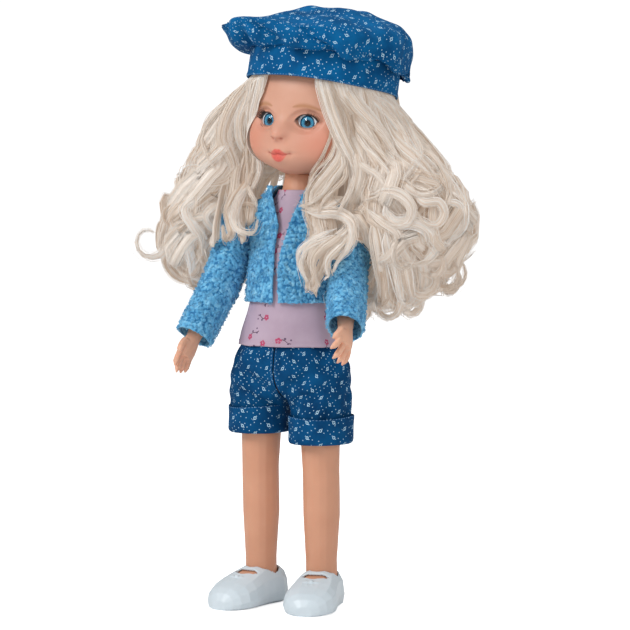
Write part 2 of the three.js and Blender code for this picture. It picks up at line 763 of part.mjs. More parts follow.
const shoePlaces = [0, 0.05, 0.16, 0.3, 0.44, 0.56, 0.68, 0.8, 0.9, 0.96, 1];
const footPlaces = [0, 0.06, 0.25, 0.46, 0.66, 0.86, 0.96];

// Shoe or foot as cross-sections from heel to toe, smaller by an inset
function shoeLoft(inset, bottom, places, count) {
  const rows = smoothRows([
    [0, shoeHeelHalfWidth * 0.45, shoeHeight * 0.72],
    [0.05, shoeHeelHalfWidth * 0.8, shoeHeight * 0.86],
    [0.16, shoeHeelHalfWidth, shoeHeight * 0.96],
    [0.36, shoeHeelHalfWidth, shoeHeight],
    [0.52, (shoeHeelHalfWidth + shoeHalfWidth) / 2, shoeHeight * 0.9],
    [0.7, shoeHalfWidth, toeHeight * 1.28],
    [0.86, shoeHalfWidth * 0.9, toeHeight],
    [0.96, shoeHalfWidth * 0.6, toeHeight * 0.7],
    [1, shoeHalfWidth * 0.3, toeHeight * 0.4],
  ]);
  const rings = places.map((place) => {
    const [halfWidth, height] = rows(place);
    const y = shoeHeel - inset - place * (shoeLength - 2 * inset);
    const top = Math.max(height - inset, bottom + 1.5);
    return Array.from({ length: count }, (_, i) => {
      const turn = (2 * Math.PI * i) / count;
      const half = Math.max(halfWidth - inset, 1.5);
      const x = half * Math.sign(Math.cos(turn)) * Math.abs(Math.cos(turn)) ** 0.75;
      const sine = Math.sin(turn);
      const lift = sine > 0 ? sine ** 0.85 : -Math.sqrt(Math.min(1, -sine * soleFlatness));
      const middle = bottom + (top - bottom) * 0.3;
      const z = lift > 0 ? middle + (top - middle) * lift : middle + (middle - bottom) * lift;
      return new THREE.Vector3(x, y, z);
    });
  });
  return loft(rings);
}

function makeLeg(side) {
  const heights = [
    ...steps(ankleHeight - 14, ankleHeight, 1), ...steps(ankleHeight, kneeHeight, 4).slice(1),
    ...steps(kneeHeight, hipHeight, 4).slice(1),
  ];
  const rings = heights.map((height) => {
    const [out, back, halfWidth, halfDepth] = legRows(height);
    return oval(new THREE.Vector3(out, back, height), xAxis, yAxis, halfWidth, halfDepth, 16);
  });
  const disc = turnedAboutX(hipDisc(0, hipFace, Infinity), 18, 0, hipHeight);
  const besideCrotch = turnedAboutX([
    [0, 0], [0, crotchRoom], [hipFace, crotchRoom], [hipFace, 0],
  ], jointSides, 0, hipHeight);
  const plug = turnedAboutX([
    [hipFace - legPlugLength, 0], [hipFace - legPlugLength, legPlugRadius],
    [hipFace + 4, legPlugRadius], [hipFace + 4, 0],
  ], plugSides, 0, hipHeight);
  const shank = forSide(side, loft(rings).subtract(besideCrotch).add(disc).add(plug));
  const foot = shoeLoft(shoeWall + 2 * runGap, soleThickness + runGap, footPlaces, 10);
  addPiece(doll, `leg_${side.name}`, largest(shank.add(moved(foot, side.footFrame))), vinyl);
}

// Shoe: moulded upper and sole in one, with an opening for the ankle, a strap and a bow
function makeShoe(side) {
  const ankleHole = loft(steps(soleThickness + 6, reach / 4, 1).map((height) =>
    oval(new THREE.Vector3(0, 1, height), xAxis, yAxis, ankleHalfWidth + 0.7, ankleHalfDepth + 0.9, 16)));
  const vamp = new THREE.Shape();
  const front = -strapForward - strapWidth;
  vamp.moveTo(-8.2, front);
  vamp.bezierCurveTo(-7, front - vampOpening * 1.25, 7, front - vampOpening * 1.25, 8.2, front);
  vamp.lineTo(-8.2, front);
  const vampHole = new THREE.ExtrudeGeometry(vamp, { depth: 30, bevelEnabled: false, curveSegments: 6 });
  vampHole.translate(0, 0, soleThickness + 6);
  const room = shoeLoft(shoeWall, soleThickness, shoePlaces, 10);
  let shoe = shoeLoft(0, 0, shoePlaces, 14).subtract(room).subtract(ankleHole).subtract(solidFrom(vampHole));
  const bowY = front - vampOpening - 3.2;
  const bowZ = toeHeight * 1.22;
  const knot = new THREE.SphereGeometry(bowSize * 0.42, 6, 4);
  knot.translate(0, bowY, bowZ + 0.6);
  shoe = shoe.add(solidFrom(knot));
  for (const sign of [-1, 1]) {
    const loop = new THREE.SphereGeometry(bowSize * 0.72, 8, 5);
    loop.scale(1, 0.75, 0.5);
    loop.translate(sign * bowSize * 0.85, bowY + 0.6, bowZ + 0.1);
    shoe = shoe.add(solidFrom(loop));
    const tail = new THREE.SphereGeometry(bowSize * 0.55, 6, 4);
    tail.scale(0.55, 1.1, 0.5);
    tail.translate(sign * bowSize * 0.45, bowY - 2.2, bowZ - 1);
    shoe = shoe.add(solidFrom(tail));
  }
  addPiece(side.footFrame, `shoe_${side.name}`, largest(shoe), whiteVinyl);
}

// T-shirt: a jersey shell round the torso, open at hem, collar and armholes
const shirtHem = hipHeight + shirtHemAboveHip;
const collarHeight = neckHeight - collarDrop;
const shirtEase = smoothRows([
  [shirtHem, shirtHemEase], [waistHeight - 8, shirtWaistEase], [chestHeight, clothGap + shirtThickness + 0.2],
  [shoulderHeight + 8, clothGap + shirtThickness + 0.8], [collarHeight, collarEase + shirtThickness],
]);

function shellRound(heights, easeAt, thickness, count) {
  const outer = heights.map((height) => torsoRing(height, easeAt(height), count));
  const inner = [...heights].reverse().map((height) => torsoRing(height, easeAt(height) - thickness, count));
  return loft([...outer, ...inner], true);
}

function armCylinder(radius) {
  return turnedAboutX([
    [-reach, 0], [-reach, radius], [reach, radius], [reach, 0],
  ], jointSides, shoulderBack, shoulderHeight);
}

// The middle of the body, inside which a garment keeps its wall between the armholes
function betweenArmholes(halfWidth) {
  return block(new THREE.Vector3(-halfWidth, -reach, -reach), new THREE.Vector3(halfWidth, reach, 2 * reach));
}

function makeShirt() {
  const heights = [...steps(shirtHem, waistHeight, 2), ...steps(waistHeight, shoulderHeight, 3).slice(1),
    ...steps(shoulderHeight, collarHeight, 3).slice(1)];
  const shell = shellRound(heights, (height) => shirtEase(height)[0], shirtThickness, bodySides);
  const holes = armCylinder(shoulderBallRadius + runGap).subtract(betweenArmholes(shoulderHalfWidth - 6));
  addPiece(doll, 'tshirt', largest(shell.subtract(holes)), jerseyPink);
}

// Jacket: back and two fronts, seamed at the sides, with round armholes and an open front
const jacketHem = waistHeight + jacketHemAboveWaist;
const jacketCollar = neckHeight - jacketCollarDrop;
const jacketEase = smoothRows([
  [jacketHem, jacketHemEase + jacketThickness], [jacketHem + 14, jacketChestEase + jacketThickness + 0.6],
  [chestHeight, jacketChestEase + jacketThickness], [shoulderHeight, jacketChestEase + jacketThickness],
  [shoulderHeight + 9, jacketChestEase + jacketThickness + 1.4],
  [jacketCollar, jacketCollarEase + jacketThickness],
]);

function jacketOutline(extra, count) {
  const heights = [...steps(jacketHem, chestHeight, 2), ...steps(chestHeight, shoulderHeight, 1).slice(1),
    ...steps(shoulderHeight, jacketCollar, 4).slice(1)];
  return heights.map((height) => torsoRing(height, jacketEase(height)[0] + extra, count));
}

// Edge of the armhole, standing out round the sleeve's end
function armholeRim() {
  const inner = shoulderHalfWidth - 7;
  const outer = shoulderHalfWidth + rimStand;
  const rimRadius = armholeRadius + jacketThickness;
  return turnedAboutX([
    [inner, armholeRadius], [inner, rimRadius], [outer, rimRadius],
    [outer, armholeRadius], [inner, armholeRadius],
  ], jointSides, shoulderBack, shoulderHeight);
}

function makeJacket() {
  const outer = jacketOutline(0, bodySides);
  const inner = jacketOutline(-jacketThickness, bodySides).reverse();
  const opening = new THREE.Shape();
  const openingHalves = [
    [jacketHem - 10, frontOpeningHem], [chestHeight - 8, frontOpeningChest],
    [shoulderHeight, frontOpeningChest * 2.4], [jacketCollar + 10, frontOpeningCollar * 1.7],
  ];
  opening.moveTo(-frontOpeningHem, openingHalves[0][0]);
  openingHalves.forEach(([height, half]) => opening.lineTo(half, height));
  openingHalves.toReversed().forEach(([height, half]) => opening.lineTo(-half, height));
  const wedge = new THREE.ExtrudeGeometry(opening, { depth: reach, bevelEnabled: false });
  wedge.rotateX(Math.PI / 2);
  wedge.translate(0, shoulderBack, 0);
  const holes = armCylinder(armholeRadius).subtract(betweenArmholes(shoulderHalfWidth - 5));
  const room = loft(jacketOutline(-jacketThickness, bodySides));
  let shell = loft([...outer, ...inner], true).subtract(solidFrom(wedge)).subtract(holes);
  for (const side of sides) shell = shell.add(forSide(side, armholeRim().subtract(room)));
  const seam = chestBack;
  const low = (x, y) => new THREE.Vector3(x, y, 0);
  const high = (x, y) => new THREE.Vector3(x, y, 2 * reach);
  const half = runGap / 2;
  const back = shell.intersect(block(low(-reach, seam + half), high(reach, reach)));
  addPiece(doll, 'jacket_back', largest(back), boucleBlue);
  const front = shell.intersect(block(low(0, -reach), high(reach, seam - half)));
  for (const side of sides) {
    addPiece(doll, `jacket_front_${side.name}`, largest(forSide(side, front)), boucleBlue);
  }
}

// Sleeve outline: an inner edge point, the direction across it, its full width, half depth and middle
function sleeveRings(side, inset, count) {
  const clear = jacketChestEase + jacketThickness + chestHalfWidth - shoulderHalfWidth;
  const radius = armholeRadius - runGap - 0.1;
  const places = [];
  for (const x of [sleeveStart, clear + 0.2]) places.push([x, -radius, 0, 2 * radius, radius, 0]);
  for (const share of [0.33, 0.66, 1]) {
    const turn = (Math.PI / 2 - side.splay) * share;
    const fullness = sleeveHeadRise * Math.sin(Math.PI * share);
    const half = THREE.MathUtils.lerp(radius, sleeveHalfWidth, share) + fullness;
    places.push([clear + 0.2 + 0.9 * share, -radius - 2.2 * share, turn, 2 * half, radius + 0.4 * share, 0]);
  }
  for (const along of [24, 40, 57, sleeveAlong]) {
    const share = along / sleeveAlong;
    const half = THREE.MathUtils.lerp(sleeveHalfWidth, sleeveEndHalfWidth, share);
    const depth = THREE.MathUtils.lerp(sleeveHalfDepth, sleeveHalfDepth - 0.6, share);
    const shift = 2.2 * Math.max(0, 1 - along / elbowAlong);
    const centre = armPoint(side, along);
    const across = armAcross(side);
    const edge = centre.clone().addScaledVector(across, shift - half);
    places.push([edge.x, edge.z, Math.PI / 2 - side.splay, 2 * half, depth, centre.y]);
  }
  return places.map(([x, z, turn, width, depth, y]) => {
    const across = new THREE.Vector3(Math.sin(turn), 0, Math.cos(turn));
    const centre = new THREE.Vector3(x, y, z).addScaledVector(across, width / 2);
    return oval(centre, across, yAxis, width / 2 - inset, depth - inset, count);
  });
}

function makeSleeve(side) {
  const outer = sleeveRings(side, 0, 14);
  const inner = sleeveRings(side, sleeveThickness, 14).reverse();
  const sleeve = loft([...outer, ...inner], true);
  addPiece(side.armFrame, `sleeve_${side.name}`, forSide(side, sleeve), boucleBlue);
}

// Shorts: one hip part and two legs, hollow, cut at the centre seam into a left and a right half
const shortsTop = hipHeight + shortsTopAboveHip;

function shortsSolid(side, inset, legBottom) {
  const crotch = hipHeight - shortsCrotchDrop + inset;
  const hips = steps(crotch, shortsTop + inset, 4).map((height) => {
    const above = (height - crotch) / (shortsTop - crotch);
    const [back, halfWidth, halfDepth] = torsoRows(Math.max(height, hipHeight + 10));
    const ease = clothGap + shortsThickness + shortsEase * (1 - above) - inset;
    const drawn = height < hipHeight - 4 ? 0.9 : 1;
    const centre = new THREE.Vector3(0, back, height);
    return oval(centre, xAxis, yAxis, halfWidth + ease, (halfDepth + ease) * drawn, bodySides);
  });
  const legs = steps(hipHeight + 2, legBottom - inset * 4, 3).map((height) => {
    const down = (hipHeight - height) / (hipHeight - legBottom);
    const out = THREE.MathUtils.lerp(legOutAtHip - 2.4, legOutAtKnee - 0.2, Math.min(1, down * 1.8));
    const half = THREE.MathUtils.lerp(shortsLegHalfWidth - 2, shortsLegHalfWidth, Math.min(1, down * 1.8));
    const depth = THREE.MathUtils.lerp(hipHalfDepth + 1.6, shortsLegHalfDepth, Math.min(1, down * 1.8));
    return oval(new THREE.Vector3(out, 0, height), xAxis, yAxis, half - inset, depth - inset, 18);
  });
  const discFace = hipFace - clothGap - shortsThickness;
  const ease = clothGap + shortsThickness - inset;
  const joint = turnedAboutX(hipDisc(ease, discFace + inset, jointSides), jointSides, 0, hipHeight);
  return loft(hips).add(forSide(side, loft(legs).add(joint)));
}

function makeShorts(side) {
  const top = torsoBottom - side.cuffDrop;
  const cuffHeight = top - cuffWidth;
  const legBottom = cuffHeight + 1;
  const shell = shortsSolid(side, 0, legBottom).subtract(shortsSolid(side, shortsThickness, legBottom));
  const ownSide = block(new THREE.Vector3(runGap / 2, -reach, 0), new THREE.Vector3(reach, reach, reach));
  const half = shell.intersect(forSide(side, ownSide));
  addPiece(doll, `shorts_${side.name}`, largest(half), printedBlue);
  const outOfCentre = legOutAtKnee - 0.2;
  const inset = -(runGap + cuffThickness);
  const cuffRing = (height, ease) => oval(new THREE.Vector3(outOfCentre, 0, height), xAxis, yAxis,
    shortsLegHalfWidth + ease, shortsLegHalfDepth + ease, 18);
  const flare = 0.4;
  const cuff = loft([
    cuffRing(cuffHeight, -inset), cuffRing(top, -inset + flare), cuffRing(top, runGap + flare),
    cuffRing(cuffHeight, runGap),
  ], true);
  addPiece(doll, `cuff_${side.name}`, forSide(side, cuff), printedBlue);
}

function makeWaistband() {
  const heights = steps(shortsTop + runGap, shortsTop + runGap + waistbandWidth, 2);
  const band = shellRound(heights, () => clothGap + shortsThickness, shortsThickness, bodySides);
  addPiece(doll, 'shorts_waistband', band, printedBlue);
}

// Beret: a band round the head and a soft pleated crown above it
const beretFrame = new THREE.Group();
beretFrame.position.set(headCentre.x, headCentre.y, headCentre.z + beretHeight);
beretFrame.rotation.x = beretPitch;
headFrame.add(beretFrame);
const bandInner = headHalfWidth + hairGap + scalpHair + bandEase;
const bandDeeper = headHalfDepth - headHalfWidth + 0.6;

function bandRing(height, ease, count) {
  const radius = bandInner + ease;
  return oval(new THREE.Vector3(0, 0, height), xAxis, yAxis, radius, radius + bandDeeper, count);
}

// Crown outline from the band outward and over the top: pleats near the band, slack folds further out.
// The rows give the share of the way, how far out and up, and how far the slouched side is lifted
function crownRings(inset, count) {
  const profile = smoothRows([
    [0, 0, 0, 0], [0.14, 6, 0.4, -2.5], [0.3, 13.6, 4, -5], [0.42, 14, 9, -1.5],
    [0.56, 6, 15, 4], [0.72, -9, 21, 5.5], [crownEnd, -25, crownRise, 4],
  ]);
  return steps(0, crownEnd, 8).map((t) => {
    const [out, up, lean] = profile(t);
    const base = bandRing(bandWidth + runGap + up, bandThickness + out, count);
    const rim = Math.min(1, t / crownRim);
    const pleat = pleatDepth * Math.sin(rim * Math.PI * 0.9);
    return base.map((point, i) => {
      const turn = (2 * Math.PI * i) / count;
      const reachOut = Math.hypot(point.x, point.y);
      const fold = pleat * Math.cos(crownPleats * turn) + 2 * t * Math.sin(3 * turn + 1);
      const lift = lean * Math.cos(turn - slouchTurn);
      const scale = (Math.min(reachOut, crownReach) + fold - inset) / reachOut;
      const x = point.x * scale + crownShift.x * rim;
      const y = point.y * scale + crownShift.y * rim;
      return new THREE.Vector3(x, y, point.z + lift - (rim < 1 ? 0 : inset));
    });
  });
}

function makeBeret() {
  const outer = steps(0, bandWidth, 1).map((height) => bandRing(height, bandThickness, 28));
  const inner = steps(bandWidth, 0, 1).map((height) => bandRing(height, 0, 28));
  addPiece(beretFrame, 'beret_band', loft([...outer, ...inner], true), printedBlue);
  const below = bandRing(bandWidth - crownRise, -crownThickness, crownSides / 2);
  const room = loft([below, ...crownRings(crownThickness, crownSides / 2)]);
  addPiece(beretFrame, 'beret_crown', largest(loft(crownRings(0, crownSides)).subtract(room)), printedBlue);
}

// Hair over the scalp: follows the skull, open at the face
function makeScalpHair() {
  const outer = headSkin(20, 12, capEase + scalpHair, 0);
  const inner = headSkin(20, 12, capEase, 0);
  const window = new THREE.Shape();
  const windowHeight = headCentre.z - windowDrop;
  window.absellipse(windowShift, windowHeight, windowHalfWidth, windowHalfHeight, 0, 2 * Math.PI);
  const opening = new THREE.ExtrudeGeometry(window, { depth: reach, bevelEnabled: false, curveSegments: 7 });
  opening.rotateX(Math.PI / 2);
  opening.translate(0, headCentre.y - 6, 0);
  const bottom = headCentre.z - capBottom;
  const below = block(new THREE.Vector3(-reach, -reach, -reach), new THREE.Vector3(reach, reach, bottom));
  const cap = outer.subtract(inner).subtract(solidFrom(opening)).subtract(below);
  addPiece(headFrame, 'hair_cap', largest(cap), blondHair);
}

// Hair masses, in the head's frame: height above the neck, middle, half width and half depth
const hairRows = {
  left: [
    [-74, 48, 13, 12, 12], [-64, 50, 13, 23, 22], [-46, 55, 16, 30, 27], [-28, 59, 17, 36, 30],
    [-13, 59, 19, 36, 32], [6, 50, 19, 25, 30], [27, 38, 19, 11, 24], [50, 31, 15, 9, 19],
  ],
  right: [
    [-67, -58, -6, 9, 10], [-54, -64, -6, 17, 22], [-36, -66, -5, 21, 27], [-12, -60, 3, 20, 29],
    [5, -54, 7, 18, 30], [25, -45, 9, 16, 29], [48, -28, 4, 11, 24],
  ],
  back: [
    [-75, 0, 27, 22, 8], [-65, 0, 28, 34, 13], [-45, 0, 31, 42, 17], [-20, 0, 36, 44, 19],
    [0, 0, 42, 42, 18], [25, 0, 44, 38, 18], [48, 0, 40, 34, 16],
  ],
  lockLeft: [
    [-64, 34, -30, 7, 4], [-54, 35, -31, 13, 6.5], [-34, 37, -30, 15, 7], [-20, 29, -24, 15, 7],
    [-7, 26, -16, 13, 7], [10, 33, -9, 8, 7], [27, 31, -7, 7, 6], [50, 24, -16, 6, 4],
  ],
  lockRight: [
    [-43, -22, -33, 8, 4], [-32, -23, -32, 15, 7], [-16, -33, -15, 12, 9], [2, -34, -6, 8, 8],
    [24, -31, -8, 6, 7], [46, -15, -22, 6, 4],
  ],
};
const hairMiddle = 26; // where the back hair meets the side masses

// Inside of a mass: its rows drawn in by the wall, the lowest one carried out through the bottom
function hairInside(rows) {
  return rows.map(([height, x, y, halfWidth, halfDepth], i) => {
    const lower = i ? height : height - 2 * hairWall;
    return [lower, x, y, Math.max(halfWidth - hairWall, 2), Math.max(halfDepth - hairWall, 2)];
  });
}

function hairLoft(rows, ease, count) {
  const at = smoothRows(rows);
  const rings = steps(rows[0][0], rows[rows.length - 1][0], 7).map((height) => {
    const [x, y, halfWidth, halfDepth] = at(height);
    return oval(new THREE.Vector3(x, y, height), xAxis, yAxis, halfWidth + ease, halfDepth + ease, count);
  });
  return loft(rings);
}

function hollowHair(rows) {
  return hairLoft(rows, 0, 12).subtract(hairLoft(hairInside(rows), 0, 7));
}

// What the hair falls over: head, neck, jacket, sleeves and all above the beret's lower edge
function hairObstacles() {
  const neck = loft([jacketCollar - 12, neckHeight + 3].map((height) => torsoRing(height, hairGap * 2, 16)));
  const clothes = loft(jacketOutline(hairGap, bodySides)).add(neck);
  const hem = loft(steps(shirtHem, jacketHem + 1, 1).map((height) =>
    torsoRing(height, shirtEase(height)[0] + hairGap, bodySides)));
  let all = movedBack(clothes.add(hem), headFrame);
  const rim = armholeRadius + jacketThickness + hairGap;
  const rimOut = shoulderHalfWidth + rimStand + hairGap;
  const rims = turnedAboutX([
    [-rimOut, 0], [-rimOut, rim], [rimOut, rim], [rimOut, 0],
  ], jointSides, shoulderBack, shoulderHeight);
  all = all.add(movedBack(rims, headFrame));
  for (const side of sides) {
    const sleeve = forSide(side, loft(sleeveRings(side, -hairGap, 14)));
    all = all.add(movedBack(moved(sleeve, side.armFrame), headFrame));
  }
  const above = block(new THREE.Vector3(-reach, -reach, -hairGap), new THREE.Vector3(reach, reach, reach));
  beretFrame.updateMatrix();
  all = all.add(above.transform(beretFrame.matrix.elements));
  return all.add(headSkin(20, 12, capEase + hairGap + scalpHair, 0));
}

function makeHairMasses() {
  const obstacles = hairObstacles();
  const low = (x) => new THREE.Vector3(x, -reach, -reach);
  const high = (x) => new THREE.Vector3(x, reach, reach);
  const half = runGap / 2;
  const pieces = {
    hair_back: hollowHair(hairRows.back).intersect(block(low(-hairMiddle + half), high(hairMiddle - half))),
    hair_left: hollowHair(hairRows.left).intersect(block(low(hairMiddle + half), high(reach)))
      .subtract(hairLoft(hairRows.lockLeft, hairGap, 12)),
    hair_right: hollowHair(hairRows.right).intersect(block(low(-reach), high(-hairMiddle - half)))
      .subtract(hairLoft(hairRows.lockRight, hairGap, 12)),
    hair_lock_left: hairLoft(hairRows.lockLeft, 0, 12),
    hair_lock_right: hairLoft(hairRows.lockRight, 0, 12),
  };
  for (const [name, mass] of Object.entries(pieces)) {
    addPiece(headFrame, name, largest(mass.subtract(obstacles)), blondHair);
  }
}

makeTorso();
makeHead();
makeScalpHair();
makeHairMasses();
makeBeret();
makeShirt();
makeJacket();
makeWaistband();
for (const side of sides) {
  makeEye(side);
  makeLash(side);
  makeArm(side);
  makeLeg(side);
  makeShoe(side);
  makeSleeve(side);
  makeShorts(side);
}

// The middle of the box round everything stands over the origin
const box = new THREE.Box3().setFromObject(doll, true);
doll.position.set(-(box.min.x + box.max.x) / 2, -(box.min.y + box.max.y) / 2, -box.min.z);

export default doll;
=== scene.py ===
"""Looks of the posable doll: vinyl skin, eyes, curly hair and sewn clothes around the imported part."""

import json
import math

import bpy
import numpy as np
from mathutils import Matrix, Vector


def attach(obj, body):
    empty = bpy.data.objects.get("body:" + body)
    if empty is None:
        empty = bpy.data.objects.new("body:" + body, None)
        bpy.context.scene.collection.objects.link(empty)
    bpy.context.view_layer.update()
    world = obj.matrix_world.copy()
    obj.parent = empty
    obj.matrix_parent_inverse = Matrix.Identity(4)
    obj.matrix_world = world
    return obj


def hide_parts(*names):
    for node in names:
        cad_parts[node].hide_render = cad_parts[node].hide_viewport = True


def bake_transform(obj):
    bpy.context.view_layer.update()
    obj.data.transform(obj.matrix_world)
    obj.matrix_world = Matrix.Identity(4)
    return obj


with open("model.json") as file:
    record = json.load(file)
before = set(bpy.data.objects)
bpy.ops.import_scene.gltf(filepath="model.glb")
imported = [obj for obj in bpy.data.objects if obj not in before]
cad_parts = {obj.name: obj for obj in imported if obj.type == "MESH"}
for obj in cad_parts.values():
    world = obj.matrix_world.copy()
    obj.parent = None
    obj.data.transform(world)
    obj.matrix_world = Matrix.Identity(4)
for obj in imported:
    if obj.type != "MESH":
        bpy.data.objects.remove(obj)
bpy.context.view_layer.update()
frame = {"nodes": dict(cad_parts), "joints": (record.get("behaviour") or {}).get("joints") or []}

MM = 0.001

# Places below are millimetres in the part's own frame: ankles at x 0, y 0 and the soles at z 0
HIP_HEIGHT = 126
hip = next(joint for joint in frame["joints"] if joint["name"] == "hip_left")
ORIGIN = np.array(hip["pos_m"]) / MM - (0, 0, HIP_HEIGHT)
SIDES = {"left": 1, "right": -1}

# The photograph is taken from round to the doll's left and a little above, about CAMERA_FAR away
CAMERA_PLACE = (726.4, -1425.6, 252)
CAMERA_AIM = (11.9, 6.1, 159.5)
CAMERA_FAR = 1600
SEEN_FROM = math.radians(27)


def place(points):
    """Shared-frame metres of millimetre points."""
    return (np.asarray(points, float) + ORIGIN) * MM


def added(name, data):
    """A new object in the scene."""
    obj = bpy.data.objects.new(name, data)
    bpy.context.scene.collection.objects.link(obj)
    return obj


def aimed(obj, spot, direction):
    """Puts a camera or lamp on a spot, looking along a direction."""
    obj.location = spot
    obj.rotation_mode = "QUATERNION"
    obj.rotation_quaternion = direction.to_track_quat("-Z", "Y")


camera_data = bpy.data.cameras.new("camera")
camera_data.sensor_width = 36
camera_data.lens = 167.3
camera_data.clip_start = 0.05
camera_data.clip_end = 50
camera = added("camera", camera_data)
bpy.context.scene.camera = camera
camera_place = Vector(place(CAMERA_PLACE))
aimed(camera, camera_place, Vector(place(CAMERA_AIM)) - camera_place)


def turning(x=0, y=0, z=0):
    """Rotation matrix for degrees about X, then Y, then Z."""
    turns = Matrix.Rotation(math.radians(z), 3, "Z")
    turns = turns @ Matrix.Rotation(math.radians(y), 3, "Y") @ Matrix.Rotation(math.radians(x), 3, "X")
    return np.array(turns)


def srgb(red, green, blue):
    """Linear colour of a 0 to 255 screen colour."""
    parts = []
    for part in (red, green, blue):
        c = part / 255
        parts.append(c / 12.92 if c <= 0.04045 else ((c + 0.055) / 1.055) ** 2.4)
    return (*parts, 1)


class Look:
    """A material with short ways to wire its nodes. Colours are screen colours of 0 to 255."""

    def __init__(self, name, **values):
        self.material = bpy.data.materials.new(name)
        self.material.use_nodes = True
        self.tree = self.material.node_tree
        self.shader = self.tree.nodes["Principled BSDF"]
        self.output = self.tree.nodes["Material Output"]
        for key, value in values.items():
            self.set(key, value)

    def feed(self, socket, value):
        """Links a node's output to a socket, or gives the socket a plain value."""
        if isinstance(value, bpy.types.NodeSocket):
            self.tree.links.new(value, socket)
        else:
            socket.default_value = value

    def set(self, key, value):
        self.feed(self.shader.inputs[key.replace("_", " ")], value)

    def show(self, node):
        self.feed(self.output.inputs["Surface"], node.outputs[0])

    def node(self, kind, inputs=(), **settings):
        """A new node; inputs are values in order, or by name in a dictionary."""
        node = self.tree.nodes.new(kind)
        for key, value in settings.items():
            setattr(node, key, value)
        for key, value in inputs.items() if isinstance(inputs, dict) else enumerate(inputs):
            self.feed(node.inputs[key], value)
        return node

    def math(self, operation, *inputs):
        """One step of arithmetic; the methods after it are short for steps that come often."""
        return self.node("ShaderNodeMath", inputs, operation=operation).outputs[0]

    def plus(self, first, second):
        return self.math("ADD", first, second)

    def minus(self, first, second):
        return self.math("SUBTRACT", first, second)

    def times(self, first, second):
        return self.math("MULTIPLY", first, second)

    def size(self, value):
        """The value without its sign."""
        return self.math("ABSOLUTE", value)

    def length(self, x, y):
        return self.math("SQRT", self.plus(self.times(x, x), self.times(y, y)))

    def most(self, first, *others):
        """The highest of several values."""
        for other in others:
            first = self.math("MAXIMUM", first, other)
        return first

    def weave(self, u, v, across, along):
        """Checks of crossing threads."""
        return self.times(self.math("SINE", self.times(u, across)), self.math("SINE", self.times(v, along)))

    def vector(self, operation, *inputs):
        return self.node("ShaderNodeVectorMath", inputs, operation=operation).outputs[0]

    def cloth(self):
        """Flat place on the cloth, in millimetres."""
        return self.node("ShaderNodeUVMap", uv_map="cloth").outputs[0]

    def split(self, vector):
        return self.node("ShaderNodeSeparateXYZ", [vector]).outputs

    def joined(self, *parts):
        return self.node("ShaderNodeCombineXYZ", parts).outputs[0]

    def mask(self, name, output="Fac"):
        return self.node("ShaderNodeAttribute", attribute_name=name).outputs[output]

    def noise(self, scale, detail=3, coordinates=None):
        coordinates = coordinates or self.node("ShaderNodeTexCoord").outputs["Object"]
        inputs = {"Vector": coordinates, "Scale": scale, "Detail": detail, "Roughness": 0.5}
        return self.node("ShaderNodeTexNoise", inputs).outputs["Fac"]

    def ramp(self, factor, *stops):
        """Colours by factor; each stop is a position and its red, green and blue."""
        node = self.node("ShaderNodeValToRGB", [factor])
        elements = node.color_ramp.elements
        while len(elements) < len(stops):
            elements.new(0.5)
        for element, (position, *colour) in zip(elements, stops):
            element.position = position
            element.color = srgb(*colour)
        return node.outputs["Color"]

    def mottled(self, factor, dark, light):
        """Two colours blended over the middle of a factor."""
        return self.ramp(factor, (0.3, *dark), (0.7, *light))

    def step(self, value, low, high):
        """0 below low and 1 above high, smooth between; low above high turns it round."""
        node = self.node("ShaderNodeMapRange", [value, low, high, 0, 1], interpolation_type="SMOOTHSTEP")
        return node.outputs[0]

    def mix(self, factor, first, second):
        """From the first to the second colour by factor; a colour is an output or a screen colour."""
        node = self.node("ShaderNodeMix", data_type="RGBA")
        sockets = [node.inputs["Factor"], *(socket for socket in node.inputs if socket.type == "RGBA")]
        for socket, value in zip(sockets, (factor, first, second)):
            self.feed(socket, srgb(*value) if isinstance(value, tuple) else value)
        return next(socket for socket in node.outputs if socket.type == "RGBA")

    def bump(self, height, distance, strength):
        inputs = {"Height": height, "Distance": distance * MM, "Strength": strength}
        self.set("Normal", self.node("ShaderNodeBump", inputs).outputs[0])


def unit(vectors, least=1e-9):
    """Vectors scaled to length 1."""
    return vectors / np.maximum(np.linalg.norm(vectors, axis=-1, keepdims=True), least)


def circle(count):
    """Angles of count even steps round a circle."""
    return np.linspace(0, 2 * np.pi, count, endpoint=False)


def looped(line):
    """A line of points with its first point again at the end."""
    return np.concatenate([line, line[:1]])


def run_of(line):
    """Length along a line of points up to each of them."""
    return np.concatenate([[0], np.cumsum(np.linalg.norm(np.diff(line, axis=0), axis=-1))])


def bell(value, width, other=0, other_width=1, flat=1):
    """1 where value and other are 0, falling off over their widths."""
    return np.exp(-((value / width) ** 2 + (other / other_width) ** 2) / flat)


def points_of(x, y, z):
    """Points of three coordinates, each of them spread over the rows and columns of the others."""
    return np.stack(np.broadcast_arrays(x, y, z), -1)


def outgrow(share, where):
    """Factor that carries points within an outline (share below 1) out to it."""
    return np.where((share < 1) & where, 1 / np.maximum(share, 0.05), 1)


def smooth_rows(rows, at):
    """Values of rows (position, value, value...) at positions, by a smooth curve through them."""
    rows = np.asarray(rows, float)
    x, values = rows[:, 0], rows[:, 1:]
    slopes = np.gradient(values, x, axis=0)
    at = np.clip(np.asarray(at, float), x[0], x[-1])
    i = np.clip(np.searchsorted(x, at, side="right") - 1, 0, len(x) - 2)
    step = (x[i + 1] - x[i])[..., None]
    t = ((at - x[i])[..., None]) / step
    a, b = values[i], values[i + 1]
    ta, tb = slopes[i] * step, slopes[i + 1] * step
    return (a * (2 * t**3 - 3 * t**2 + 1) + ta * (t**3 - 2 * t**2 + t)
            + b * (3 * t**2 - 2 * t**3) + tb * (t**3 - t**2))


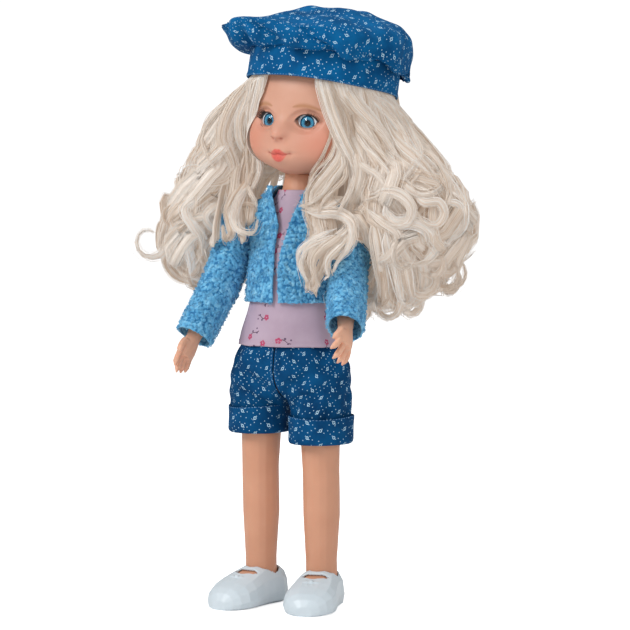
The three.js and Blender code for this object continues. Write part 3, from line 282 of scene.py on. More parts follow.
def soft(value, low, high):
    """0 below low and 1 above high, smooth between; low above high turns it round."""
    t = np.clip((value - low) / (high - low), 0, 1)
    return t * t * (3 - 2 * t)


def ripple(points, wavelength, seed, count=7):
    """Soft random waves between about -1 and 1 over points."""
    rng = np.random.default_rng(seed)
    total = np.zeros(points.shape[:-1])
    for _ in range(count):
        direction = rng.normal(size=points.shape[-1])
        direction *= 2 * np.pi / (wavelength * rng.uniform(0.7, 1.5) * np.linalg.norm(direction))
        total += np.sin(points @ direction + rng.uniform(0, 2 * np.pi))
    return total / math.sqrt(count)


CELL_PRIMES = np.array([73856093, 19349663, 83492791])
PLACE_PRIMES = (2654435, 9737333, 6700417)


def pebbles(points, size):
    """1 at the middle of each random pebble, 0 midway between them."""
    cell = np.floor(points / size).astype(np.int64)
    best = np.full(len(points), 1e9)
    for shift in np.ndindex(3, 3, 3):
        near = cell + np.array(shift) - 1
        mixed = np.bitwise_xor.reduce(near * CELL_PRIMES, -1)
        jitter = np.stack([((mixed * prime) >> 7) % 1009 / 1009 for prime in PLACE_PRIMES], -1)
        best = np.minimum(best, ((near + jitter - points / size) ** 2).sum(-1))
    return np.clip(1 - np.sqrt(best) / 0.75, 0, 1)


def grid_faces(rows, columns, closed, first=0, flip=False):
    """Quads of a grid of points, with the row and column of each corner."""
    i, j = np.meshgrid(np.arange(rows - 1), np.arange(columns if closed else columns - 1), indexing="ij")
    after = (j + 1) % columns
    quads = [i * columns + j, i * columns + after, (i + 1) * columns + after, (i + 1) * columns + j]
    corners = [(i, j), (i, j + 1), (i + 1, j + 1), (i + 1, j)]
    if flip:
        quads, corners = quads[::-1], corners[::-1]
    quads = np.stack(quads, -1).reshape(-1, 4) + first
    corners = np.stack([np.stack(corner, -1) for corner in corners], -2).reshape(-1, 4, 2)
    return quads, corners


def grid_normals(points, closed):
    """Directions out of a grid of points."""
    if closed:
        around = np.roll(points, -1, 1) - np.roll(points, 1, 1)
    else:
        around = np.gradient(points, axis=1)
    return unit(np.cross(around, np.gradient(points, axis=0)))


def cloth_shell(outer, thickness, closed):
    """A sheet with both sides and turned edges: points, quads, and the row and column of each corner."""
    rows, columns = outer.shape[:2]
    inner = outer - grid_normals(outer, closed) * thickness
    count = rows * columns
    front, back = grid_faces(rows, columns, closed), grid_faces(rows, columns, closed, count, flip=True)
    quads, corners = (list(pair) for pair in zip(front, back))
    i, j = np.arange(rows - 1), np.arange(columns if closed else columns - 1)
    edges = [((j * 0 + row, j), (j * 0 + row, j + 1), row == 0) for row in (0, rows - 1)]
    if not closed:
        edges += [((i, i * 0 + column), (i + 1, i * 0 + column), column > 0) for column in (0, columns - 1)]
    for here, there, turned in edges:
        a, b = (row * columns + column % columns for row, column in (here, there))
        quad = np.stack([a, b, b + count, a + count], -1)
        corner = np.stack([np.stack(spot, -1) for spot in (here, there, there, here)], 1)
        quads.append(quad[:, ::-1] if turned else quad)
        corners.append(corner[:, ::-1] if turned else corner)
    points = np.concatenate([outer.reshape(-1, 3), inner.reshape(-1, 3)])
    return points, np.concatenate(quads), np.concatenate(corners)


def piece(name, points, quads, look, body, slot, replaces=(), cloth=None, masks=None, bend=None):
    """Adds a mesh of millimetre points. cloth is each corner's flat place, masks are values per point."""
    mesh = bpy.data.meshes.new(name)
    mesh.vertices.add(len(points))
    mesh.vertices.foreach_set("co", place(points).astype(np.float32).ravel())
    quads = np.asarray(quads, np.int32)
    mesh.loops.add(quads.size)
    mesh.loops.foreach_set("vertex_index", quads.ravel())
    mesh.polygons.add(len(quads))
    mesh.polygons.foreach_set("loop_start", np.arange(0, quads.size, 4, dtype=np.int32))
    mesh.polygons.foreach_set("use_smooth", np.ones(len(quads), bool))
    if cloth is not None:
        layer = mesh.uv_layers.new(name="cloth")
        layer.data.foreach_set("uv", np.asarray(cloth, np.float32).ravel())
    for key, values in (masks or {}).items():
        attribute = mesh.attributes.new(key, "FLOAT", "POINT")
        attribute.data.foreach_set("value", np.asarray(values, np.float32).ravel())
    mesh.update(calc_edges=True)
    mesh.materials.append(look.material)
    obj = added(name, mesh)
    if bend:
        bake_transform(obj)
    else:
        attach(obj, body)
    if replaces:
        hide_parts(*replaces)
    return obj


def net_piece(name, points, *about, **more):
    """Adds a grid of points that closes round."""
    quads, _ = grid_faces(*points.shape[:2], True)
    return piece(name, points.reshape(-1, 3), quads, *about, **more)


# A net is smoothed in and back out by turns, so that it doesn't shrink
SMOOTH_IN, SMOOTH_OUT = 0.5, -0.52


def evened(node, voxel, rounds):
    """A CAD node's surface as an even, smoothed net of millimetre points and quads."""
    source = added("evened", frame["nodes"][node].data.copy())
    modifier = source.modifiers.new("even", "REMESH")
    modifier.mode = "VOXEL"
    modifier.voxel_size = voxel * MM
    graph = bpy.context.evaluated_depsgraph_get()
    result = source.evaluated_get(graph).to_mesh()
    points = np.zeros(len(result.vertices) * 3)
    result.vertices.foreach_get("co", points)
    points = points.reshape(-1, 3) / MM - ORIGIN
    quads = np.zeros(len(result.loops), np.int32)
    result.loops.foreach_get("vertex_index", quads)
    edges = np.zeros(len(result.edges) * 2, np.int32)
    result.edges.foreach_get("vertices", edges)
    quads, edges = quads.reshape(-1, 4), edges.reshape(-1, 2)
    bpy.data.objects.remove(source)
    degree = np.bincount(edges.ravel(), minlength=len(points))[:, None]
    for factor in (SMOOTH_IN, SMOOTH_OUT) * rounds:
        total = np.stack([
            np.bincount(edges[:, 0], points[edges[:, 1], axis], len(points))
            + np.bincount(edges[:, 1], points[edges[:, 0], axis], len(points))
            for axis in range(3)
        ], -1)
        points = points + factor * (total / degree - points)
    return points, quads


def net_normals(points, quads):
    """Directions out of a net of quads, at its points."""
    flat = np.cross(points[quads[:, 2]] - points[quads[:, 0]], points[quads[:, 3]] - points[quads[:, 1]])
    return unit(np.stack([
        sum(np.bincount(quads[:, k], flat[:, axis], len(points)) for k in range(4)) for axis in range(3)
    ], -1))


def tubes(centres, normals, binormals, radii, sides=3):
    """Tapered tubes along centre lines (line, step, place): points and quads."""
    lines, count = centres.shape[:2]
    angles = np.arange(sides) * 2 * np.pi / sides
    ring = np.cos(angles)[:, None] * normals[:, :, None] + np.sin(angles)[:, None] * binormals[:, :, None]
    points = centres[:, :, None] + ring * radii[:, :, None, None]
    i, j, k = np.meshgrid(np.arange(lines), np.arange(count - 1), np.arange(sides), indexing="ij")
    after = (k + 1) % sides
    base = i * count * sides + j * sides
    quads = np.stack([base + k, base + after, base + after + sides, base + k + sides], -1).reshape(-1, 4)
    return points.reshape(-1, 3), quads


def line_frames(centres):
    """Two directions across each centre line (line, step, place)."""
    tangent = unit(np.gradient(centres, axis=1))
    helper = np.where(np.abs(tangent[..., 1:2]) > 0.9, [1.0, 0.0, 0.0], [0.0, 1.0, 0.0])
    normal = unit(np.cross(tangent, helper))
    return normal, np.cross(tangent, normal)


# Materials
def vinyl_look(name, dark=(203, 145, 115), light=(209, 152, 122), face=False):
    """Soft skin vinyl; on the face each mask mixes in its paint, and the shade mask mixes in painted shade.
    """
    look = Look(name, Roughness=0.5, Subsurface_Weight=0.12, Subsurface_Scale=0.004)
    look.set("Subsurface_Radius", (1.0, 0.45, 0.3))
    skin = look.mottled(look.noise(60, 4), dark, light)
    if face:
        lips = look.mottled(look.noise(900), (206, 76, 66), (218, 96, 84))
        # The shade colour is painted shade: darker skin round the eyes, in the nostrils, under the nose and
        # at the mouth's corners.
        paints = {"blush": (212, 122, 98), "shade": (172, 96, 72), "brow": (176, 122, 82), "lips": lips,
                  "mouth_line": (150, 48, 40), "liner": (42, 26, 22)}
        for mask, paint in paints.items():
            skin = look.mix(look.mask(mask), skin, paint)
        look.set("Roughness", look.math("MULTIPLY_ADD", look.mask("lips"), -0.2, 0.5))
    look.set("Base_Color", skin)
    look.bump(look.plus(look.noise(1800, 2), look.times(look.noise(140), 2)), 0.05, 0.5)
    return look


def print_look(name, base, deep):
    """Woven cotton with small tailed rings in half-drop rows and scattered dots between them."""
    look = Look(name, Roughness=0.85, Specular_IOR_Level=0.12)
    u, v, _ = look.split(look.cloth())
    ring_pitch, rise, dot_pitch = 7.0, 8.4, 2.35

    def cell(value, pitch):
        """Number of the repeat and the place within it, from its middle."""
        scaled = look.times(value, 1 / pitch)
        number = look.math("FLOOR", scaled)
        return number, look.times(look.minus(look.minus(scaled, number), 0.5), pitch)

    column, x = cell(u, ring_pitch)
    odd = look.math("MODULO", look.size(column), 2)
    _, y = cell(look.math("MULTIPLY_ADD", odd, rise / 2, v), rise)
    x = look.times(x, look.math("MULTIPLY_ADD", odd, -2, 1))

    def away(at_x, at_y, wide=1.0, high=1.0):
        return look.length(look.times(look.minus(x, at_x), wide), look.times(look.minus(y, at_y), high))

    ring = look.step(look.size(look.minus(away(0, 0, 1.0, 0.85), 0.62)), 0.24, 0.1)
    tail = look.step(away(-0.95, -0.85, 1.0, 1.6), 0.4, 0.24)
    bud = look.step(away(0.85, 0.95, 1.6, 1.0), 0.36, 0.22)
    dot_column, dot_x = cell(look.plus(look.times(u, 0.84), look.times(v, 0.54)), dot_pitch)
    dot_row, dot_y = cell(look.minus(look.times(v, 0.84), look.times(u, 0.54)), dot_pitch)
    spot = look.joined(dot_column, dot_row, 0)
    chance = look.node("ShaderNodeTexWhiteNoise", [spot], noise_dimensions="2D").outputs["Value"]
    dots = look.times(look.step(look.length(dot_x, dot_y), 0.32, 0.18), look.step(chance, 0.52, 0.54))
    dots = look.times(dots, look.step(away(0, 0), 1.5, 1.8))
    ground = look.mottled(look.noise(90, 4), deep, base)
    colour = look.mix(look.most(ring, tail, bud, dots), ground, (186, 222, 240))
    look.set("Base_Color", look.mix(look.mask("thread"), colour, (120, 160, 200)))
    threads = look.times(look.weave(u, v, 16, 16), 0.5)
    look.bump(look.plus(threads, look.times(look.noise(700), 0.6)), 0.12, 0.6)
    return look


def boucle_look():
    """Looped yarn of mottled blues, with painted light on its nubs and painted shade between them."""
    look = Look("boucle", Roughness=0.95, Sheen_Weight=0.15, Sheen_Roughness=0.6, Specular_IOR_Level=0.2)
    tone = look.noise(240)
    light = look.ramp(tone, (0.32, 84, 162, 208), (0.55, 110, 184, 224), (0.72, 150, 210, 238))
    deep = look.mottled(tone, (34, 104, 154), (52, 130, 180))
    # Painted light and shade: the raised nubs and loops take the light blues, the hollows between them the
    # deep ones.
    look.set("Base_Color", look.mix(look.step(look.mask("nub"), 0.08, 0.46), deep, light))
    look.bump(look.noise(1500), 0.35, 0.8)
    return look


def jersey_look():
    """Fine knit with flower sprigs, each turned its own way and some of them left out."""
    look = Look("jersey", Roughness=0.8, Sheen_Weight=0.1, Sheen_Roughness=0.4, Specular_IOR_Level=0.2)
    sprig_pitch, sprig_scale = 11.5, 0.74
    cloth = look.cloth()
    u, v, _ = look.split(cloth)
    spot = look.node("ShaderNodeTexVoronoi", {"Vector": cloth, "Scale": 1 / sprig_pitch, "Randomness": 0.55},
                     voronoi_dimensions="2D")
    away = look.vector("SUBTRACT", cloth, spot.outputs["Position"])
    chance = look.split(spot.outputs["Color"])
    turn = look.node("ShaderNodeVectorRotate", {"Vector": away, "Angle": look.times(chance[0], 6.28)},
                     rotation_type="Z_AXIS")
    x, y, _ = look.split(look.vector("MULTIPLY", turn.outputs[0], (sprig_scale,) * 3))

    def blob(at_x, at_y, radius):
        return look.step(look.length(look.minus(x, at_x), look.minus(y, at_y)), radius, radius * 0.7)

    petals = look.most(*(blob(0.75 * math.sin(a), 0.75 * math.cos(a), 0.62) for a in circle(5)))
    wave = look.times(look.math("SINE", look.times(x, 1.1)), 0.6)
    stem = look.times(look.step(look.size(look.minus(y, wave)), 0.22, 0.1),
                      look.step(look.size(look.minus(x, 2.6)), 2.2, 1.9))
    leaves = look.most(blob(2.2, 1.1, 0.5), blob(3.6, -0.7, 0.45), blob(4.4, 0.9, 0.4))
    grown = look.step(chance[1], 0.25, 0.27)
    # Partly painted shade: the knit's lilac ground is darkened all over for the shade of the open jacket.
    colour = look.mottled(look.noise(70), (180, 157, 174), (192, 170, 187))
    for part, paint in ((stem, (78, 44, 60)), (leaves, (96, 74, 100)), (petals, (186, 74, 108))):
        colour = look.mix(look.times(part, grown), colour, paint)
    look.set("Base_Color", look.mix(look.mask("thread"), colour, (196, 168, 186)))
    look.bump(look.plus(look.weave(u, v, 14, 18), look.noise(400, 2)), 0.08, 0.5)
    return look


def hair_look():
    """Blond by each strand's tone, partly painted shade, and grain, with a faint painted glow."""
    look = Look("hair", Roughness=0.32, Sheen_Weight=0.1)
    streaks = look.noise(1, 3, look.joined(look.times(look.mask("grain"), 9), 0, 0))
    shade = look.plus(look.times(look.mask("tone"), 0.6), look.times(streaks, 0.5))
    blond = look.ramp(shade, (0.12, 178, 144, 116), (0.36, 225, 205, 184), (0.6, 244, 235, 225),
                      (0.9, 254, 252, 250))
    look.set("Base_Color", blond)
    # Painted light: the hair glows faintly in its own colour, in place of light scattered between the
    # strands.
    look.set("Emission_Color", blond)
    look.set("Emission_Strength", 0.13)
    glow = look.node("ShaderNodeBsdfTranslucent", {"Color": blond})
    look.show(look.node("ShaderNodeMixShader", [0.36, look.shader.outputs[0], glow.outputs[0]]))
    look.bump(streaks, 0.12, 0.5)
    return look


def plain_look(name, scale, detail, dark, light, bump, **values):
    """One colour, mottled a little; bump is its grain's scale, detail, depth and strength."""
    look = Look(name, **values)
    look.set("Base_Color", look.mottled(look.noise(scale, detail), dark, light))
    look.bump(look.noise(*bump[:2]), *bump[2:])
    return look


def eye_looks():
    """The white of the eye, the printed iris and the clear dome."""
    white = Look("eye_white", Roughness=0.15, Coat_Weight=1.0, Coat_Roughness=0.04)
    veins = white.ramp(white.noise(500, 5), (0.35, 214, 222, 230), (0.65, 236, 240, 244))
    # Painted shade: the seat under the iris is coloured dark, as the inside of its recess in shade.
    white.set("Base_Color", white.mix(white.mask("seat"), veins, (30, 50, 66)))
    iris = Look("iris", Roughness=0.6, Specular_IOR_Level=0.1)
    out = iris.mask("out")
    spokes = iris.noise(9, 4, iris.mask("spoke", "Vector"))
    blue = iris.ramp(out, (0.0, 1, 2, 4), (0.36, 1, 2, 4), (0.43, 6, 44, 78), (0.56, 16, 94, 134),
                     (0.74, 44, 136, 170), (0.85, 14, 76, 116), (1.0, 2, 14, 28))
    fleck = iris.mix(iris.step(spokes, 0.42, 0.62), blue, (96, 178, 208))
    ring = iris.times(iris.step(out, 0.38, 0.5), iris.step(out, 0.9, 0.78))
    iris.set("Base_Color", iris.mix(iris.times(ring, 0.6), blue, fleck))
    iris.bump(spokes, 0.1, 0.4)
    lens = Look("eye_lens", Roughness=0.03)
    clear = lens.node("ShaderNodeBsdfTransparent").outputs[0]
    shine = lens.node("ShaderNodeBsdfGlossy", {"Roughness": 0.04}).outputs[0]
    fresnel = lens.node("ShaderNodeFresnel", {"IOR": 1.5}).outputs[0]
    behind = lens.node("ShaderNodeNewGeometry").outputs["Backfacing"]
    lens.show(lens.node("ShaderNodeMixShader", [lens.times(fresnel, lens.minus(1, behind)), clear, shine]))
    return white, iris, lens


# Head: the same skull and bumps as the moulded head, on a fine net crowded at the eyes and the mouth
HEAD_AXES = turning(y=3.3, z=-12.5)
NECK_TOP = np.array([2.0, 12.0, 237.0])
HEAD_CENTRE = np.array([0.0, 13.0, 40.0])
HEAD_HALF = np.array([36.0, 37.0, 40.0])
FACE_BUMPS = [
    # azimuth, elevation, their spreads, height
    (0, -47, 44, 17, 8.4), (0, -52, 11, 7, 2.0), (0, -38, 14, 9, 3.2), (0, -34.3, 8.0, 1.9, 0.9),
    (0, -39.3, 6.5, 2.2, 1.1), (0, -36.8, 8.5, 0.9, -0.9), (0, -22.8, 4.9, 4.2, 5.6), (0, -12, 5, 8, 0.5),
    (24, -18, 10, 8, -3.4), (47, -35, 21, 14, 5.4), (0, 12, 40, 20, 0.8),
    (0, -30.5, 1.6, 2.4, -0.4), (3.5, -26.9, 1.4, 1.0, -1.1), (5.4, -24.0, 2.2, 2.4, 0.95),
    (10.2, -36.8, 1.7, 2.2, -0.6),
]
LID_OUT = 13.3
LID_DROP = -12.2
LID_HALF = (5.7, 4.5)
EYE_PLACE = np.array([11.2, -23.2, -11.9])
EYE_RADIUS = 9.5
IRIS_RADIUS = 4.3
EYE_SIDES = 64
LID_SKIN = 0.5
FACE_TURN = turning(z=4)


def from_head(points):
    """Places in the part's frame of places in the head's own."""
    return np.asarray(points) @ HEAD_AXES.T + NECK_TOP


def in_head(points):
    """Places in the head's own frame of places in the part's frame."""
    return (points - NECK_TOP) @ HEAD_AXES


def from_face(points):
    """As from_head, for the face, which is turned a little on the skull."""
    return from_head((np.asarray(points) - HEAD_CENTRE) @ FACE_TURN.T + HEAD_CENTRE)


def lid_radius(angle):
    """Distance of the lids' outline from the middle of the opening, by angle; 0 is the outer corner."""
    half, rise = LID_HALF
    curves = [
        [(-half, 0), (-half * 0.85, rise * 1.05), (half * 0.5, rise * 1.5), (half, rise * 0.25)],
        [(half, rise * 0.25), (half * 0.8, -rise * 0.95), (-half * 0.55, -rise * 1.15), (-half, 0)],
    ]
    t = np.linspace(0, 1, 60)[:, None]
    outline = np.concatenate([
        (1 - t) ** 3 * a + 3 * (1 - t) ** 2 * t * b + 3 * (1 - t) * t**2 * c + t**3 * d
        for a, b, c, d in np.array(curves)
    ])
    angles = np.arctan2(outline[:, 1], outline[:, 0])
    order = np.argsort(angles)
    return np.interp(angle, angles[order], np.hypot(*outline[order].T), period=2 * np.pi)


def lid_place(x, z):
    """Share of the way from the middle of the eye opening to its outline, and the angle."""
    across, up = np.abs(x) - LID_OUT, z - LID_DROP
    angle = np.arctan2(up, across)
    return np.hypot(across, up) / lid_radius(angle), angle


def skull(azimuth, elevation):
    """How far out the head's skin is without its lids, and the direction."""
    flat = np.cos(elevation)
    direction = points_of(flat * np.sin(azimuth), -flat * np.cos(azimuth), np.sin(elevation))
    distance = 1 / np.linalg.norm(direction / HEAD_HALF, axis=-1)
    around, up = np.abs(np.degrees(azimuth)), np.degrees(elevation)
    for a, b, spread_a, spread_b, height in FACE_BUMPS:
        distance = distance + height * bell(around - a, spread_a, up - b, spread_b, 2)
    return distance, direction


def face_net(azimuth, elevation):
    """Head-frame places on the skin with its lids and open eyes, the liner paint and the painted shade round
    the eyes.
    """
    distance, direction = skull(azimuth, elevation)
    flat = distance[..., None] * direction
    share, angle = lid_place(flat[..., 0], flat[..., 2])
    ahead = flat[..., 1] < -10
    mirrored = direction * np.where(direction[..., :1] < 0, [-1, 1, 1], [1, 1, 1])
    to_eye = mirrored @ EYE_PLACE
    over = to_eye**2 - EYE_PLACE @ EYE_PLACE + (EYE_RADIUS + LID_SKIN) ** 2
    lid_skin = to_eye + np.sqrt(np.maximum(over, 0))
    closer = np.clip(lid_skin - distance, -2.3, 1.0) * (1 - soft(share, 1.0, 1.9)) * ahead
    distance = distance + closer
    upper = soft(np.sin(angle), -0.15, 0.35)
    lid = (0.45 + 0.6 * upper) * bell(share - 1, 0.3) * (share >= 1)
    lid -= 0.22 * upper * bell(share - 1.55, 0.2)
    inside = 6 * (1 - soft(share, 0.9, 1.0))
    distance = distance + np.where(ahead, lid + np.where(share < 1, 0.45 + 0.6 * upper - inside, 0), 0)
    masks = {"liner": ahead * upper * soft(share, 0.88, 0.97) * (1 - soft(share, 1.08, 1.2))}
    masks["liner"] += 0.35 * ahead * (1 - upper) * soft(share, 0.9, 0.97) * (1 - soft(share, 1.0, 1.1))
    # Painted shade: a faint darker ring round each eye opening, where the socket is shaded.
    masks["shade"] = 0.1 * ahead * bell(share - 1.25, 0.4) * soft(share, 0.9, 1)
    return distance[..., None] * direction + HEAD_CENTRE, masks


def crowded(low, high, count, places):
    """Steps from low to high, closer together round places (middle, width, weight)."""
    fine = np.linspace(low, high, 6000)
    density = 1 + sum(weight * bell(fine - centre, width, flat=2) for centre, width, weight in places)
    total = np.concatenate([[0], np.cumsum((density[1:] + density[:-1]) / 2)])
    return np.interp(np.linspace(0, total[-1], count), total, fine)


def make_head():
    """The face and skull with masks for blush, lips, mouth, brows and painted shade by the nose and mouth;
    angles in degrees.
    """
    around = crowded(-180, 180, 441, [(-24, 9, 3), (24, 9, 3), (0, 9, 1.5)])[:-1]
    up = crowded(-80.5, 84, 300, [(-18, 7, 3), (-38, 7, 2)])
    azimuth, elevation = np.meshgrid(np.radians(around), np.radians(up))
    points, masks = face_net(azimuth, elevation)
    edge = HEAD_CENTRE + (points[0] - HEAD_CENTRE) * 0.95
    a, e = np.degrees(azimuth), np.degrees(elevation)
    side = np.abs(a)
    cheek = bell(side - 36, 15, e + 30, 10, 2)
    nose, chin = bell(a, 6, e + 25, 5, 2), bell(a, 12, e + 52, 6, 2)
    masks["blush"] = 0.5 * cheek + 0.22 * nose + 0.2 * chin
    t = side / 8.8
    top = -32.9 - 4.4 * t**1.5 - 0.7 * bell(t, 0.16)
    bottom = -41.2 + 4.9 * t**1.8
    paint = soft(e, bottom - 0.7, bottom + 0.6) * (1 - soft(e, top - 0.5, top + 0.5)) * (t < 1.05)
    masks["lips"] = paint * (0.95 - 0.55 * np.clip(t, 0, 1) ** 2)
    line = -36.9 + 0.35 * np.cos(t * 5) * (1 - t)
    masks["mouth_line"] = 0.75 * bell(e - line, 0.36) * (1 - soft(t, 1.1, 1.5))
    # Painted shade: darker skin in the nostrils, under the tip of the nose and in the dimples at the mouth's
    # corners.
    nostril, below_nose = bell(side - 3.7, 1.4, e + 27, 0.9), bell(a, 5, e + 28.6, 1.4)
    corner = bell(side - 10.2, 1.2, e + 36.8, 1.2)
    masks["shade"] = np.clip(masks["shade"] + 0.85 * nostril + 0.22 * below_nose + 0.3 * corner, 0, 1)
    x, y, z = np.moveaxis(points - HEAD_CENTRE, -1, 0)
    x = np.abs(x)
    brow_line = -5.6 + 3.0 * np.sin((0.25 + 0.7 * np.clip((x - 7) / 15, 0, 1)) * np.pi)
    thick = 1.25 * np.sin(np.clip((x - 6.6) / 15.2, 0, 1) * np.pi) ** 0.6 + 0.05
    masks["brow"] = 0.85 * bell(z - brow_line, thick) * (y < 0) * ((x > 6.7) & (x < 21.7))
    masks = {key: np.concatenate([value[:1], value]) for key, value in masks.items()}
    points = from_face(np.concatenate([edge[None], points]))
    skin = vinyl_look("face_vinyl", (207, 154, 130), (212, 161, 138), face=True)
    net_piece("head_skin", points, skin, "head", "skin_vinyl", ["head"], masks=masks)


def make_eye(name, sign, white, iris_look, lens):
    """The eye's body with a seat for the iris, the printed iris and the clear dome over it."""
    gaze = math.radians(13 if sign > 0 else -7)
    across, ahead = (math.cos(gaze), math.sin(gaze), 0), (math.sin(gaze), -math.cos(gaze), 0)
    axes = np.array([across, (0, 0, 1), ahead])
    centre = HEAD_CENTRE + EYE_PLACE * (sign, 1, 1)
    turn = circle(EYE_SIDES)

    def turned(radius, forward):
        """Rings round the line of sight, by radius and distance forward."""
        rings = points_of(radius[:, None] * np.cos(turn), radius[:, None] * np.sin(turn), forward[:, None])
        return from_face(centre + rings @ axes)

    limbus = math.asin(IRIS_RADIUS / EYE_RADIUS)
    front = EYE_RADIUS * math.cos(limbus)
    polar = np.linspace(math.pi - 0.15, limbus, 40)
    radius = np.concatenate([EYE_RADIUS * np.sin(polar), [4.25, 4.2, 3.0, 0.05]])
    forward = np.concatenate([EYE_RADIUS * np.cos(polar), front - np.array([0.1, 0.7, 0.8, 0.8])])
    # The seat mask marks the recess under the iris, which takes painted shade.
    seat = np.repeat((np.arange(len(radius)) >= len(polar)).astype(float), EYE_SIDES)
    net_piece(f"eyeball_{name}", turned(radius, forward), white, "head", "eye_white", [f"eye_{name}"],
              masks={"seat": seat})

    out = np.concatenate([np.linspace(1, 0.36, 16), np.linspace(0.33, 0.01, 6)])
    radius = out * (IRIS_RADIUS - 0.15)
    forward = front - 0.06 - 0.3 * (1 - out) ** 0.8
    back = turned(np.array([radius[0], 0.05]), forward[0] - np.array([0.2, 0.45]))
    points = np.concatenate([back[::-1], turned(radius, forward)])
    shares = np.repeat(np.concatenate([[0.0, 1.0], out]), EYE_SIDES)
    obj = net_piece(f"iris_print_{name}", points, iris_look, "head", "iris_print", [f"iris_{name}"],
                    masks={"out": shares})
    spokes = points_of(np.cos(turn), np.sin(turn), shares.reshape(-1, EYE_SIDES) * 0.4)
    attribute = obj.data.attributes.new("spoke", "FLOAT_VECTOR", "POINT")
    attribute.data.foreach_set("vector", spokes.astype(np.float32).ravel())

    out = np.linspace(1, 0.01, 18)
    dome = front + 0.06 + 1.55 * (1 - out**2)
    under = turned(out[::-1] * (IRIS_RADIUS - 0.05), dome[::-1] - 0.25)
    points = np.concatenate([under, turned(out * (IRIS_RADIUS - 0.02), dome)])
    net_piece(f"cornea_dome_{name}", points, lens, "head", "eye_lens", [f"cornea_{name}"])


def skin_at(x, z):
    """Head-frame point on the face at a place seen from the front, measured from the head's centre."""
    y = np.full_like(x, -30.0)
    for _ in range(12):
        azimuth, elevation = np.arctan2(x, -y), np.arctan2(z, np.hypot(x, y))
        points, _ = face_net(azimuth, elevation)
        distance = np.linalg.norm(points - HEAD_CENTRE, axis=-1)
        y = -np.sqrt(np.maximum(distance**2 - x**2 - z**2, 1))
    return np.stack([x, y, z], -1) + HEAD_CENTRE


def make_lashes(name, sign, look):
    """Single lashes on the upper and the lower lid."""
    rng = np.random.default_rng(11)
    t = np.linspace(0, 1, 9)[None, :, None]
    groups = [
        # angles round the lid, least length, growth toward the outer corner, rise, thickness
        (np.linspace(165, 8, 54), 1.0, 1.7, 0.8, 0.13), (np.linspace(-20, -70, 14), 0.5, 0.4, -0.35, 0.06),
    ]
    lines, widths = [], []
    for angles, base, growth, rise, thick in groups:
        angle = np.radians(angles + rng.normal(0, 1.2, len(angles)))
        radius = lid_radius(angle) * 1.06
        x, z = LID_OUT + radius * np.cos(angle), LID_DROP + radius * np.sin(angle)
        root = skin_at(sign * x, z) + (0, 0.15, 0)
        outer = (np.cos(angle) + 1) / 2
        length = base + growth * outer**1.4 + rng.uniform(-0.15, 0.15, len(angle))
        out = unit(points_of(sign * (-0.25 + 1.15 * outer), -1, 0.1 + rise * 0.4 * outer))
        lift = points_of(sign * 0.3 * outer, 0, rise)
        lines.append(root[:, None] + length[:, None, None] * (out[:, None] * t + lift[:, None] * t**2 * 0.75))
        widths.append(np.broadcast_to(thick * (1 - t[..., 0] ** 1.5) + 0.012, (len(angle), t.size)))
    centres = np.concatenate(lines)
    points, quads = tubes(centres, *line_frames(centres), np.concatenate(widths), 4)
    piece(f"lashes_{name}", from_face(points), quads, look, "head", "lash_fibre", [f"eyelash_{name}"])


# Body
TORSO_ROWS = [
    # height, back, half width, half depth
    (118, 0, 7.6, 12), (128, 0, 24, 17.2), (144, 0, 26, 17.2), (163, 1.5, 22, 16), (195, 5, 20, 16.5),
    (209, 9, 21.2, 13), (217, 10, 17.7, 11.5), (225, 10, 12.8, 10.9), (231, 11, 10.3, 10.3),
    (237, 12, 10.3, 10.3),
]
NECK_OUT = 2.0
COTTON = 0.7


def torso_ring(heights, ease, angles):
    """Points round the torso (height, angle); angle 0 is the left side and -90 degrees the front."""
    back, width, depth = smooth_rows(TORSO_ROWS, heights).T[..., None]
    heights, ease = heights[:, None], ease[:, None]
    x = NECK_OUT * soft(heights, 209, 231) + (width + ease) * np.cos(angles)
    return points_of(x, back + (depth + ease) * np.sin(angles), heights)


def make_body():
    """Torso, arms, legs and shoes: the moulded forms on even nets."""
    skin = vinyl_look("body_vinyl")
    arm_skin = vinyl_look("arm_vinyl", (217, 163, 135), (223, 170, 142))
    white = plain_look("shoe_vinyl", 70, 3, (203, 215, 222), (210, 221, 228), (1500, 3, 0.04, 0.4),
                       Roughness=0.42, Coat_Weight=0.15, Coat_Roughness=0.3)
    piece("torso_skin", *evened("torso", 0.8, 14), skin, "torso", "skin_vinyl", ["torso"])
    for side in SIDES:
        for name, node, body, voxel, rounds, look, slot in (
            ("arm_skin", "arm", "arm", 0.45, 10, arm_skin, "skin_vinyl"),
            ("leg_skin", "leg", "leg", 0.7, 16, skin, "skin_vinyl"),
            ("strap_shoe", "shoe", "leg", 0.36, 16, white, "white_vinyl"),
        ):
            node = f"{node}_{side}"
            piece(f"{name}_{side}", *evened(node, voxel, rounds), look, f"{body}_{side}", slot, [node])


# Clothes
def stitches(line, length, gap, radius):
    """Short thread stitches along a line of points."""
    along = run_of(line)
    t = np.linspace(0, 1, 5)
    at = np.arange(0, along[-1] - length, length + gap)[:, None] + t[None] * length
    centres = np.stack([np.interp(at, along, line[:, axis]) for axis in range(3)], -1)
    radii = np.broadcast_to(radius * (0.35 + 0.65 * np.sin(np.pi * t) ** 0.5), centres.shape[:2])
    return tubes(centres, *line_frames(centres), radii, 5)


def flat_cloth(corners, across, along, start=0):
    """Each corner's place on the flat cloth, in millimetres, across per column and along per row."""
    return np.stack([corners[..., 1] * across + start, corners[..., 0] * along], -1)


